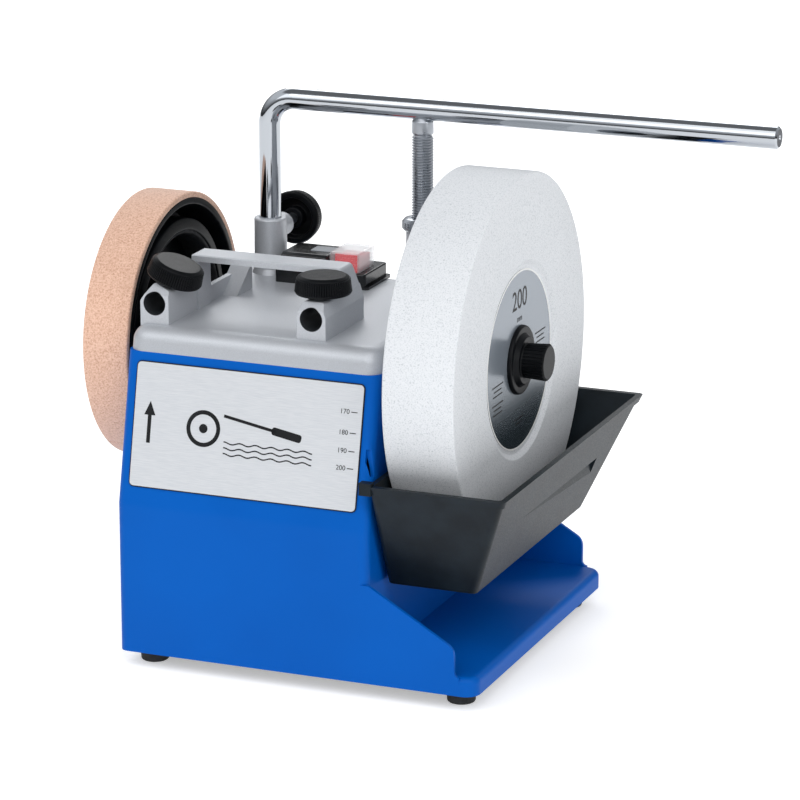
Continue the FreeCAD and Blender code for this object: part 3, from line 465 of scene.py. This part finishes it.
def block(bm, low, high, rounding=0.0, parts=2):
    """Adds a box between two corners, in millimetres, with every edge rounded."""
    made = bmesh.ops.create_cube(bm, size=1.0)["verts"]
    low, high = Vector(low) * MM, Vector(high) * MM
    size = Matrix.Diagonal((*(high - low), 1.0))
    bmesh.ops.transform(bm, matrix=Matrix.Translation((low + high) / 2) @ size, verts=made)
    if rounding:
        edges = list({edge for vert in made for edge in vert.link_edges})
        bmesh.ops.bevel(bm, geom=edges, offset=rounding * MM, offset_type="OFFSET", affect="EDGES",
                        segments=parts, profile=0.5, material=-1, clamp_overlap=True)
    return bm


def ribs(bm, chosen, border, height):
    """Raises every chosen face into a small rib."""
    bmesh.ops.inset_individual(bm, faces=chosen, thickness=border * MM, depth=height * MM,
                               use_even_offset=True, use_interpolate=True, use_relative_offset=False)


# %% [markdown]
# ## Grindstone
# The stone is cast and then dressed with a diamond, so its rim is true but its edges are broken by a
# small chamfer. The outer side has a shallow recess that keeps the paper label clear of the bench.
# One outline spun round the shaft gives all of that.

# %% Grindstone
LABEL_R, RECESS = 48.3, 2.2
stone = lathe(softened([
    (stone_low.x, 6.1, 0), (stone_low.x, STONE_R, 1.4), (stone_high.x, STONE_R, 1.4),
    (stone_high.x, 53.2, 0.9), (stone_high.x - RECESS, 50.6, 1.2), (stone_high.x - RECESS, 6.1, 0),
]), steps=200)
piece(aim(stone, (0, 0, SHAFT_Z)), "grindstone_body", "spindle", STONE, ["grindstone"])

# %% [markdown]
# ## Honing wheel
# A black moulded cup carries a strip of leather round its rim. The cup is open towards the housing,
# and a drive wheel with a rubber-lined groove sits inside it. The outer side has stiffening ribs.

# %% Honing wheel
CUP_R = WHEEL_R - 3.0
CUP_X = (wheel_low.x, wheel_high.x)
cup = lathe(softened([
    (CUP_X[0], 6.1, 0), (CUP_X[0], 21.0, 0.8), (CUP_X[0] + 1.8, 22.5, 0.8), (CUP_X[0] + 1.8, 61.5, 1.2),
    (CUP_X[0], 63.0, 0.8), (CUP_X[0], CUP_R - 0.05, 0.8), (CUP_X[1] - 0.3, CUP_R - 0.05, 0.6),
    (CUP_X[1] - 0.3, CUP_R - 3.4, 0.6), (CUP_X[0] + 4.5, CUP_R - 4.6, 3.0), (CUP_X[0] + 4.5, 6.1, 0),
]), steps=144)
for spoke in range(12):
    before = len(cup.verts)
    block(cup, (CUP_X[0] + 0.5, -0.9, 21.5), (CUP_X[0] + 3.0, 0.9, 62.5), 0.5)
    cup.verts.ensure_lookup_table()
    turn = Matrix.Rotation(spoke * math.pi / 6, 4, "X")
    bmesh.ops.transform(cup, matrix=turn, verts=cup.verts[before:])
piece(aim(cup, (0, 0, SHAFT_Z)), "honing_wheel_cup", "spindle", BLACK, ["honing_wheel"])

strip = lathe(softened([
    (CUP_X[0], CUP_R, 0), (CUP_X[0], WHEEL_R, 0.9), (CUP_X[1], WHEEL_R, 0.9), (CUP_X[1], CUP_R, 0),
], 5), steps=180)
SEAM_ANGLE, SEAM_HALF = math.radians(231.0), math.radians(1.0)
at_seam = Vector((math.cos(SEAM_ANGLE), math.sin(SEAM_ANGLE)))
on_rim = [f for f in strip.faces if f.calc_center_median().yz.length > (WHEEL_R - 0.01) * MM]
seam = [f for f in on_rim if abs(f.calc_center_median().yz.angle_signed(at_seam)) < SEAM_HALF]
if seam:
    bmesh.ops.inset_region(strip, faces=seam, thickness=0.9 * MM, depth=-0.35 * MM, use_boundary=True,
                           use_even_offset=True, use_interpolate=True, use_relative_offset=False)
piece(aim(strip, (0, 0, SHAFT_Z)), "honing_strip", "spindle", LEATHER, ["honing_leather"])

drive_low, drive_high = span("drive_wheel")
RING_IN, RING_OUT = 52.0, (drive_high.z - drive_low.z) / 2
drive = lathe(softened([
    (drive_low.x, 6.1, 0), (drive_low.x, RING_OUT, 0.8), (drive_high.x, RING_OUT, 1.0),
    (drive_high.x, RING_IN, 0.5), (drive_low.x + 3.5, RING_IN, 0), (drive_low.x + 3.5, 37.5, 1.0),
    (drive_high.x - 1.6, 37.5, 1.5), (drive_high.x - 1.6, 31.0, 0.8), (drive_high.x - 4.5, 29.5, 1.0),
    (drive_high.x - 4.5, 15.0, 1.0), (drive_high.x - 1.5, 13.0, 0.8), (drive_high.x - 1.5, 6.1, 0),
]), steps=120)
piece(aim(drive, (0, 0, SHAFT_Z)), "drive_pulley", "spindle", BLACK, ["drive_wheel"])

ring_low, ring_high = span("friction_ring")
liner = lathe(softened([
    (ring_low.x + 0.1, 50.0, 0.5), (ring_low.x + 0.1, RING_IN, 0),
    (ring_high.x, RING_IN, 0), (ring_high.x, 50.0, 0.6),
]), steps=120)
piece(aim(liner, (0, 0, SHAFT_Z)), "drive_liner", "spindle", RUBBER, ["friction_ring"])

# %% [markdown]
# ## Nuts and shaft
# The stone's nut is moulded with a wide flange and a grip of fine splines. The lathe gives its body,
# and then every second face of the grip is raised. The same trick gives the knurl of the small nut on
# the bar's thread and of the clamp knobs: on a real knurl the ribs stand proud of the turned blank.


# %% Nuts
def band(bm, low, high, least_radius, every=1):
    """Faces of a lathe shape between two places along +X whose normals point outwards."""
    found = []
    for face in bm.faces:
        centre = face.calc_center_median()
        outside = centre.yz.length > least_radius * MM and abs(face.normal.x) < 0.5
        if low * MM < centre.x < high * MM and outside:
            found.append(face)
    found.sort(key=lambda f: math.atan2(f.calc_center_median().y, f.calc_center_median().z))
    return found[::every]


nut_low, nut_high = span("spindle_nut")
spindle_nut = lathe(softened([
    (nut_low.x, 6.1, 0), (nut_low.x, 18.0, 0.4), (nut_low.x + 1.8, 18.0, 0.6), (nut_low.x + 2.2, 14.6, 0.5),
    (nut_low.x + 4.0, 12.4, 0.6), (nut_low.x + 4.4, 9.5, 0.3), (nut_high.x - 0.6, 9.5, 0),
    (nut_high.x, 8.9, 0), (nut_high.x, 0.0, 0), (nut_high.x - 1.3, 0.0, 0), (nut_high.x - 1.3, 6.1, 0),
]), steps=56)
ribs(spindle_nut, band(spindle_nut, nut_low.x + 5.0, nut_high.x - 0.8, 9.0, 2), 0.2, 0.45)
piece(aim(spindle_nut, (0, 0, SHAFT_Z)), "stone_nut", "spindle_nut", BLACK, ["spindle_nut"])

wheel_nut_low, wheel_nut_high = span("honing_nut")
bore_end = span("main_shaft")[0].x - 0.3
wheel_nut = lathe(softened([
    (wheel_nut_low.x, 0.0, 0), (wheel_nut_low.x, 15.5, 1.8), (wheel_nut_high.x - 2.5, 17.0, 1.2),
    (wheel_nut_high.x - 2.2, 11.0, 0.4), (wheel_nut_high.x, 11.0, 0), (wheel_nut_high.x, 6.1, 0),
    (bore_end, 6.1, 0), (bore_end, 0.0, 0),
]), steps=48)
ribs(wheel_nut, band(wheel_nut, wheel_nut_low.x + 2.0, wheel_nut_high.x - 3.0, 14.0, 2), 0.3, 1.4)
piece(aim(wheel_nut, (0, 0, SHAFT_Z)), "wheel_nut", "honing_nut", BLACK, ["honing_nut"])

ring_nut_low, ring_nut_high = span("adjusting_nut")
ring_nut_r = (ring_nut_high.x - ring_nut_low.x) / 2
nut_height = ring_nut_high.z - ring_nut_low.z
ring_nut = lathe(softened([
    (0, BAR_R + 0.1, 0.4), (0, ring_nut_r - 1.4, 0), (1.2, ring_nut_r - 0.4, 0),
    (nut_height - 1.2, ring_nut_r - 0.4, 0), (nut_height, ring_nut_r - 1.4, 0), (nut_height, BAR_R + 0.1, 0.4),
]), steps=60)
ribs(ring_nut, band(ring_nut, 1.0, nut_height - 1.0, ring_nut_r - 1.0), 0.3, 0.35)
piece(aim(ring_nut, (RIGHT_LEG_X, BAR_Y, ring_nut_low.z), (0, 0, 1)), "bar_nut", "adjusting_nut", TURNED,
      ["adjusting_nut"])

# %% [markdown]
# ## Clamp knobs
# Four black knobs clamp the bar. Each is a moulded cap with a hollow underside, a knurled skirt that
# flares slightly, a rounded shoulder and a top that is very slightly dished. They all share one
# shape, made along +X and aimed down the clamp screw's axis, which the model's joints give.

# %% Clamp knobs
KNOB_HEIGHT, KNOB_TOP_R, KNOB_SKIRT_R = 9.6, 13.4, 14.3


def knob_shape():
    """Knob round +X: the open underside at 0 and the top at KNOB_HEIGHT."""
    bm = lathe(softened([
        (0.0, 11.6, 0.5), (0.0, KNOB_SKIRT_R, 0.5), (KNOB_HEIGHT - 1.6, KNOB_TOP_R, 0.6),
        (KNOB_HEIGHT - 0.3, KNOB_TOP_R - 1.6, 0.9), (KNOB_HEIGHT, 6.4, 1.5), (KNOB_HEIGHT - 0.25, 3.2, 0.8),
        (KNOB_HEIGHT - 0.25, 0.0, 0), (5.0, 0.0, 0), (0.0, 0.0, 0), (0.0, 5.4, 0.5), (5.0, 5.6, 0.8),
        (5.0, 11.2, 0.8),
    ]), steps=72)
    ribs(bm, band(bm, 0.8, KNOB_HEIGHT - 2.0, 12.5), 0.3, 0.38)
    return bm


for place in ("front_left", "front_right", "back_left", "back_right"):
    joint = next(j for j in frame["joints"] if j["name"] == f"clamp_{place}_turn")
    out = Vector(joint["axis"]).normalized()
    on_axis = Vector(joint["pos_m"])
    cad_knob = frame["nodes"][f"clamp_knob_{place}"]
    reach = min((v.co - on_axis).dot(out) for v in cad_knob.data.vertices)
    shape = aim(knob_shape(), (on_axis + out * reach) / MM, out)
    piece(shape, f"knob_{place}", f"clamp_{place}", BLACK, [f"clamp_knob_{place}"])

# %% [markdown]
# ## Support bar
# The bar is one length of round stock: up through the left collar, round a cold bend and out over the
# stone. We draw its bottom rim once and then push that rim along the way the metal goes. A straight
# push is an extrusion and the bend is a spin. The free end is chamfered and centre drilled, and its
# sawn face stays dull because the chrome does not take there.


# %% Support bar
def push(bm, rim, move):
    """Extrudes an open rim of edges, moves the new rim by a matrix and returns it."""
    made = bmesh.ops.extrude_edge_only(bm, edges=rim)["geom"]
    fresh = {g for g in made if isinstance(g, bmesh.types.BMVert)}
    bmesh.ops.transform(bm, matrix=move, verts=list(fresh))
    return [g for g in made if isinstance(g, bmesh.types.BMEdge) and set(g.verts) <= fresh]


def grow(factor, centre):
    """Matrix that scales about a point in millimetres."""
    centre = Vector(centre) * MM
    return Matrix.Translation(centre) @ Matrix.Scale(factor, 4) @ Matrix.Translation(-centre)


BEND_R, CHAMFER, CENTRE_R = 15.0, 1.0, 1.6
small = (BAR_R - CHAMFER) / BAR_R
foot = Vector((LEFT_LEG_X, BAR_Y, bar_low.z))
tip = Vector((bar_high.x, BAR_Y, BAR_Z))
bar = bmesh.new()
start = Matrix.Translation(foot * MM)
ring = bmesh.ops.create_circle(bar, cap_ends=True, radius=(BAR_R - CHAMFER) * MM, segments=56,
                               matrix=start)["verts"]
rim = list({e for v in ring for e in v.link_edges})
rim = push(bar, rim, Matrix.Translation((0, 0, CHAMFER * MM)) @ grow(1 / small, foot))
rim = push(bar, rim, Matrix.Translation((0, 0, (BAR_Z - BEND_R - foot.z - CHAMFER) * MM)))
bend_centre = Vector((LEFT_LEG_X + BEND_R, BAR_Y, BAR_Z - BEND_R)) * MM
bend = bmesh.ops.spin(bar, geom=rim, cent=bend_centre, axis=(0, 1, 0), dvec=(0, 0, 0),
                      angle=math.pi / 2, steps=20, use_merge=False)
rim = [g for g in bend["geom_last"] if isinstance(g, bmesh.types.BMEdge)]
rim = push(bar, rim, Matrix.Translation(((tip.x - CHAMFER - LEFT_LEG_X - BEND_R) * MM, 0, 0)))
rim = push(bar, rim, Matrix.Translation((CHAMFER * MM, 0, 0)) @ grow(small, tip - Vector((CHAMFER, 0, 0))))
rim = push(bar, rim, grow(CENTRE_R / (BAR_R - CHAMFER), tip))
rim = push(bar, rim, Matrix.Translation((-2.2 * MM, 0, 0)) @ grow(0.1, tip))
bmesh.ops.holes_fill(bar, edges=rim, sides=0)
bmesh.ops.recalc_face_normals(bar, faces=bar.faces)
piece(bar, "support_bar_body", "support_bar", CHROME, ["support_bar"], 25.0)
END_R = BAR_R - CHAMFER - 0.1
sawn = lathe([(-0.4, CENTRE_R), (-0.4, END_R), (0.04, END_R), (0.04, CENTRE_R)], steps=48)
piece(aim(sawn, tip), "bar_end_face", "support_bar", CORE)

# %% [markdown]
# ## Threaded leg
# The right leg carries a fine thread for its nut. A thread is one ridge wound round a core, so a small
# triangle is spun for many turns while it climbs by the pitch at every turn.

# %% Threaded leg
PITCH, THREAD_DEPTH, TURN_STEPS = 1.5, 0.85, 28
THREAD_TOP = BAR_Z - BAR_R - 8.0
core = lathe(softened([
    (leg_low.z, 0.0, 0), (leg_low.z, BAR_R - 1.6, 0), (leg_low.z + 1.0, BAR_R - THREAD_DEPTH, 0),
    (THREAD_TOP, BAR_R - THREAD_DEPTH, 0), (THREAD_TOP + 1.2, BAR_R - 0.2, 0.8),
    (BAR_Z - BAR_R - 0.5, BAR_R - 0.2, 1.0), (BAR_Z - BAR_R + 2.0, BAR_R - 2.4, 0), (BAR_Z - BAR_R + 2.0, 0.0, 0),
]), steps=56)
aim(core, (RIGHT_LEG_X, BAR_Y, 0), (0, 0, 1))
turns = int((THREAD_TOP - leg_low.z - 2.0) / PITCH)
ridge = bmesh.new()
ROOT_R = BAR_R - THREAD_DEPTH - 0.1
profile = [(ROOT_R, 0.08), (BAR_R - 0.05, PITCH / 2), (ROOT_R, PITCH - 0.08)]
corners = [ridge.verts.new((r * MM, 0, (leg_low.z + 1.0 + z) * MM)) for r, z in profile]
section = [ridge.edges.new(pair) for pair in zip(corners, corners[1:] + corners[:1])]
bmesh.ops.spin(ridge, geom=corners + section, cent=(0, 0, 0), axis=(0, 0, 1),
               dvec=(0, 0, PITCH / TURN_STEPS * MM), angle=2 * math.pi * turns,
               steps=TURN_STEPS * turns, use_merge=False)
bmesh.ops.holes_fill(ridge, edges=[e for e in ridge.edges if e.is_boundary], sides=0)
bmesh.ops.recalc_face_normals(ridge, faces=ridge.faces)
bmesh.ops.translate(ridge, vec=Vector((RIGHT_LEG_X, BAR_Y, 0)) * MM, verts=ridge.verts)
wound = bpy.data.meshes.new("wound")
ridge.to_mesh(wound)
ridge.free()
core.from_mesh(wound)
piece(core, "threaded_leg_body", "support_bar", TURNED, ["threaded_leg"], 30.0)
print("thread turns", turns)

# %% [markdown]
# ## Front label
# A brushed plate with a dark edge is glued to the leaning front. Marks are screen printed: an arrow
# for the stone's direction and a scale for its worn diameter. A plain wheel over water stands where a
# maker would print a name. All marks are drawn flat, and one matrix lays them on the leaning plate.

# %% Label plate
plate_low, plate_high = span("label_plate")
PLATE_THICK, CORNER = 0.8, 2.8
LEAN = math.atan2(plate_high.y - plate_low.y - PLATE_THICK, plate_high.z - plate_low.z)
across, upward = Vector((1, 0, 0)), Vector((0, math.sin(LEAN), math.cos(LEAN)))
outward = across.cross(upward)
half_w = (plate_high.x - plate_low.x) / 2
half_h = (plate_high.z - plate_low.z) / math.cos(LEAN) / 2
face = ((plate_low + plate_high) / 2 + outward * PLATE_THICK / 2) * MM
ON_LABEL = Matrix.Translation(face) @ Matrix((across, upward, outward)).transposed().to_4x4()


def slab(bm, centre, size, low=0.0, high=0.08, turn=0.0, corner=0.0):
    """Flat printed or pressed rectangle on the XY plane, in millimetres, with rounded corners."""
    made = bmesh.ops.create_cube(bm, size=1.0)["verts"]
    place = Matrix.Translation(Vector((*centre, (low + high) / 2)) * MM) @ Matrix.Rotation(turn, 4, "Z")
    matrix = place @ Matrix.Diagonal((size[0] * MM, size[1] * MM, (high - low) * MM, 1.0))
    bmesh.ops.transform(bm, matrix=matrix, verts=made)
    if corner:
        posts = [e for e in {e for v in made for e in v.link_edges}
                 if abs((e.verts[0].co - e.verts[1].co).z) > (high - low) * MM * 0.9]
        bmesh.ops.bevel(bm, geom=posts, offset=corner * MM, offset_type="OFFSET", affect="EDGES",
                        segments=8, profile=0.5, material=-1)


def disc(bm, centre, outer, inner=0.0, low=0.0, high=0.08, steps=64):
    """Flat printed disc or ring on the XY plane."""
    made = bmesh.ops.create_circle(bm, cap_ends=True, radius=outer * MM, segments=steps)["verts"]
    if inner:
        top = made[0].link_faces[0]
        bmesh.ops.inset_region(bm, faces=[top], thickness=(outer - inner) * MM,
                               use_even_offset=True, use_boundary=True)
        bmesh.ops.delete(bm, geom=[top], context="FACES_ONLY")
    sheet_faces = list({f for v in made for f in v.link_faces})
    up = bmesh.ops.extrude_face_region(bm, geom=sheet_faces)["geom"]
    raised = [g for g in up if isinstance(g, bmesh.types.BMVert)]
    bmesh.ops.translate(bm, vec=(0, 0, (high - low) * MM), verts=raised)
    whole = {v for f in sheet_faces for v in f.verts} | set(raised)
    bmesh.ops.translate(bm, vec=(centre[0] * MM, centre[1] * MM, low * MM), verts=list(whole))


def stamp(bm, text, centre, size, align="CENTER"):
    """Printed numbers on the XY plane."""
    curve = bpy.data.curves.new("stamp", "FONT")
    curve.body, curve.size, curve.extrude = text, size * MM, 0.04 * MM
    curve.align_x, curve.align_y = align, "CENTER"
    holder = bpy.data.objects.new("stamp", curve)
    bpy.context.scene.collection.objects.link(holder)
    bpy.context.view_layer.update()
    letters = bpy.data.meshes.new_from_object(holder)
    letters.transform(Matrix.Translation((centre[0] * MM, centre[1] * MM, 0.04 * MM)))
    bm.from_mesh(letters)
    bpy.data.objects.remove(holder)


def wave(bm, centre, length, height, width):
    """Printed water line: a thin strip bent into a sine."""
    made = bmesh.ops.create_grid(bm, x_segments=48, y_segments=1, size=0.5)["verts"]
    for vert in made:
        along = vert.co.x * length
        rise = math.sin(along * 2 * math.pi / 9.0) * height / 2
        vert.co = Vector((centre[0] + along, centre[1] + rise + vert.co.y * width, 0.06)) * MM


edging = bmesh.new()
slab(edging, (0, 0), (2 * half_w, 2 * half_h), -PLATE_THICK + 0.05, -0.25, corner=CORNER)
bmesh.ops.transform(edging, matrix=ON_LABEL, verts=edging.verts)
piece(edging, "label_edging", "machine", INK)
plate = bmesh.new()
slab(plate, (0, 0), (2 * half_w - 1.2, 2 * half_h - 1.2), -PLATE_THICK + 0.1, 0.0, corner=CORNER - 0.6)
bmesh.ops.transform(plate, matrix=ON_LABEL, verts=plate.verts)
piece(plate, "label_sheet", "machine", BRUSHED, ["label_plate"])

marks = bmesh.new()
ARROW_X, ARROW_LOW, ARROW_HIGH = -55.0, -9.5, 12.5
slab(marks, (ARROW_X, (ARROW_LOW + ARROW_HIGH - 5.0) / 2), (2.1, ARROW_HIGH - ARROW_LOW - 5.0))
head = bmesh.ops.create_circle(marks, cap_ends=True, radius=3.9 * MM, segments=3)["verts"]
bmesh.ops.transform(marks, verts=head, matrix=Matrix.Translation(Vector((ARROW_X, ARROW_HIGH - 4.9, 0.06)) * MM)
                    @ Matrix.Diagonal((0.95, 1.25, 1.0, 1.0)))
for count, (diameter, level) in enumerate(((170, 18.3), (180, 7.5), (190, -1.9), (200, -10.8))):
    slab(marks, (59.6, level), (3.4, 0.45))
    stamp(marks, str(diameter), (57.0, level), 3.6, "RIGHT")
disc(marks, (-24.0, 1.2), 9.6, 7.4)
disc(marks, (-24.0, 1.2), 2.4)
slab(marks, (2.0, 6.4), (30.0, 1.6), turn=math.radians(-10.0))
slab(marks, (23.0, 2.7), (17.0, 4.2), turn=math.radians(-10.0), corner=1.4)
for level in (-5.0, -8.0, -11.0):
    wave(marks, (13.0, level), 50.0, 1.1, 0.7)
bmesh.ops.transform(marks, matrix=ON_LABEL, verts=marks.verts)
piece(marks, "label_print", "machine", INK)

# %% [markdown]
# ## Label on the stone
# A foil disc is glued into the stone's recess. It is pewter grey, and its lower half is painted darker as a
# reflection of the dark trough beneath it. It has a pale border and carries the stone's diameter. Short bars
# stand where a maker would print instructions.


# %% Stone label
def foil_print():
    """Pewter foil with a painted reflection of the dark trough: it darkens to slate downwards, across the lower
    half of the disc.
    """
    material, tree, surface, place = finish("foil_print", "8d949c", 0.24, Metallic=0.35)
    height = add(tree, "SeparateXYZ", {"Vector": place}).outputs["Z"]
    # Painted reflection: the foil's colour darkens towards its bottom, as if it mirrored the dark trough below.
    fade = remap(tree, height, (SHAFT_Z - 40.0) * MM, (SHAFT_Z + 12.0) * MM, 0.0, 1.0)
    tint(tree, surface, fade, "3a444a", "868e97", 0.05, 0.85)
    relief(tree, surface, grain(tree, place, 1.2).outputs["Fac"], 0.01, 0.3)
    return material


FOIL = foil_print()
label_low, label_high = span("stone_label")
ON_STONE = Matrix.Translation(Vector((label_high.x - 0.1, 0, SHAFT_Z)) * MM) @ Matrix(
    ((0, 0, 1), (1, 0, 0), (0, 1, 0))).to_4x4()
foil = lathe(softened([(label_low.x, 10.2, 0), (label_low.x, LABEL_R, 0), (label_high.x - 0.1, LABEL_R, 0),
                       (label_high.x - 0.1, 10.2, 0)]), steps=128)
piece(aim(foil, (0, 0, SHAFT_Z)), "stone_foil", "spindle", FOIL, ["stone_label"])

legend = bmesh.new()
stamp(legend, "200", (0.0, 32.5), 15.0)
stamp(legend, "mm", (0.0, 22.5), 5.0)
for side, level in ((1, 8.0), (-1, -6.0), (-1, -16.0)):
    for row, length in enumerate((16.0, 11.0, 13.5)):
        slab(legend, (side * 32.0, level - 2.6 * row), (length, 0.7))
for row, length in enumerate((15.0, 10.0)):
    slab(legend, (0, -32.0 - 2.6 * row), (length, 0.7))
bmesh.ops.transform(legend, matrix=ON_STONE, verts=legend.verts)
piece(legend, "stone_legend", "spindle", INK)
border = bmesh.new()
disc(border, (0, 0), LABEL_R, LABEL_R - 0.9, steps=128)
bmesh.ops.transform(border, matrix=ON_STONE, verts=border.verts)
WHITE_INK = moulded_plastic("white_ink", "e6e6e4", "f2f2f0", 0.5, 0.6)
piece(border, "stone_label_border", "spindle", WHITE_INK)

# %% [markdown]
# ## Switch
# The switch has a red rocker under a clear splash hood, and a raised black cover beside it with a small
# grey sticker. On and off are the usual bar and ring, printed on the rocker's two slopes.

# %% Switch marks
rocker_low, rocker_high = span("switch_rocker")
rocker_joint = next(j for j in frame["joints"] if j["name"] == "switch_rocker_tilt")
pivot = Vector(rocker_joint["pos_m"])
ROCKER_REST, SLOPE, CREST = math.radians(-7.0), math.radians(9.35), 9.92
middle_x = (rocker_low.x + rocker_high.x) / 2
signs = bmesh.new()
for side, mark in ((-1, "bar"), (1, "ring")):
    sign = bmesh.new()
    if mark == "bar":
        slab(sign, (0, 0), (0.7, 4.0))
    else:
        disc(sign, (0, 0), 2.1, 1.4)
    seat = Matrix.Translation((middle_x * MM - pivot.x, side * 4.25 * MM, CREST * MM))
    bmesh.ops.transform(sign, matrix=seat @ Matrix.Rotation(side * SLOPE, 4, "X"), verts=sign.verts)
    loose = bpy.data.meshes.new("sign")
    sign.to_mesh(loose)
    sign.free()
    signs.from_mesh(loose)
at_rest = Matrix.Translation(pivot) @ Matrix.Rotation(ROCKER_REST, 4, "X")
bmesh.ops.transform(signs, matrix=at_rest, verts=signs.verts)
piece(signs, "rocker_signs", "rocker", WHITE_INK)

sticker = bmesh.new()
box_low, box_high = span("switch_housing")
slab(sticker, (0, 0), (12.0, 10.5), 0.0, 0.25, corner=1.0)
sticker_place = Vector((box_low.x + 22.8, box_low.y + 15.6, box_high.z))
bmesh.ops.translate(sticker, vec=sticker_place * MM, verts=sticker.verts)
piece(sticker, "switch_sticker", "machine", GREY)

# %% [markdown]
# ## Floor and light
# A sweep of pale paper and large soft lamps, as in a catalogue studio. The big lamp at the left front
# shapes the stone, and a strip on the right draws a bright line along the chromed bar. The ceiling is
# dark, so that the bar's upper edge stands out against the white room.


# %% Stage
def lamp(name, place, size, power, warmth="ffffff"):
    """Square area light that faces the middle of the machine."""
    light = bpy.data.lights.new(name, "AREA")
    light.shape, light.size, light.size_y = "RECTANGLE", size[0], size[1]
    light.energy = power
    light.color = paint(warmth)[:3]
    holder = bpy.data.objects.new(name, light)
    holder.location = place
    holder.rotation_euler = (TARGET - Vector(place)).to_track_quat("-Z", "Y").to_euler()
    bpy.context.scene.collection.objects.link(holder)


sweep = bmesh.new()
bmesh.ops.create_grid(sweep, x_segments=1, y_segments=1, size=6.0)
floor_mesh = bpy.data.meshes.new("floor")
sweep.to_mesh(floor_mesh)
sweep.free()
floor = bpy.data.objects.new("floor", floor_mesh)
bpy.context.scene.collection.objects.link(floor)
paper, paper_tree, paper_surface, paper_place = finish(
    "pale_paper", "f4f4f4", 0.9, Emission_Color=paint("ffffff"), Emission_Strength=0.4)
relief(paper_tree, paper_surface, grain(paper_tree, paper_place, 2.0).outputs["Fac"], 0.02, 0.2)
floor.data.materials.append(paper)

lamp("key", (-1.2, -1.5, 1.5), (0.9, 1.2), 3.4)
lamp("strip", (1.7, -0.7, 0.9), (0.35, 1.4), 7.5)
lamp("back", (-0.6, 1.6, 1.3), (1.2, 0.6), 8.0)
overhead = bpy.data.lights.new("overhead", "SUN")
overhead.energy, overhead.angle = 1.45, math.radians(70)
ceiling = bpy.data.objects.new("overhead", overhead)
ceiling.rotation_euler = (math.radians(38), math.radians(12), 0)
bpy.context.scene.collection.objects.link(ceiling)

world = bpy.data.worlds.new("studio")
world.use_nodes = True
sky = world.node_tree
room = add(sky, "SeparateXYZ", {"Vector": add(sky, "TexCoord").outputs["Generated"]})
rise = remap(sky, room.outputs["Z"], 0.02, 0.45, 0.06, 0.95)
fade = remap(sky, room.outputs["X"], -0.2, 0.9, 1.0, 0.5)
ceiling_shade = remap(sky, room.outputs["Z"], 0.72, 0.8, 1.0, 0.25)
walls = calc(sky, "MULTIPLY", calc(sky, "MULTIPLY", rise, fade), ceiling_shade)
sky.links.new(walls, sky.nodes["Background"].inputs["Strength"])
sky.nodes["Background"].inputs["Color"].default_value = paint("eef1f5")
bpy.context.scene.world = world
bpy.context.scene.view_settings.view_transform = "Standard"
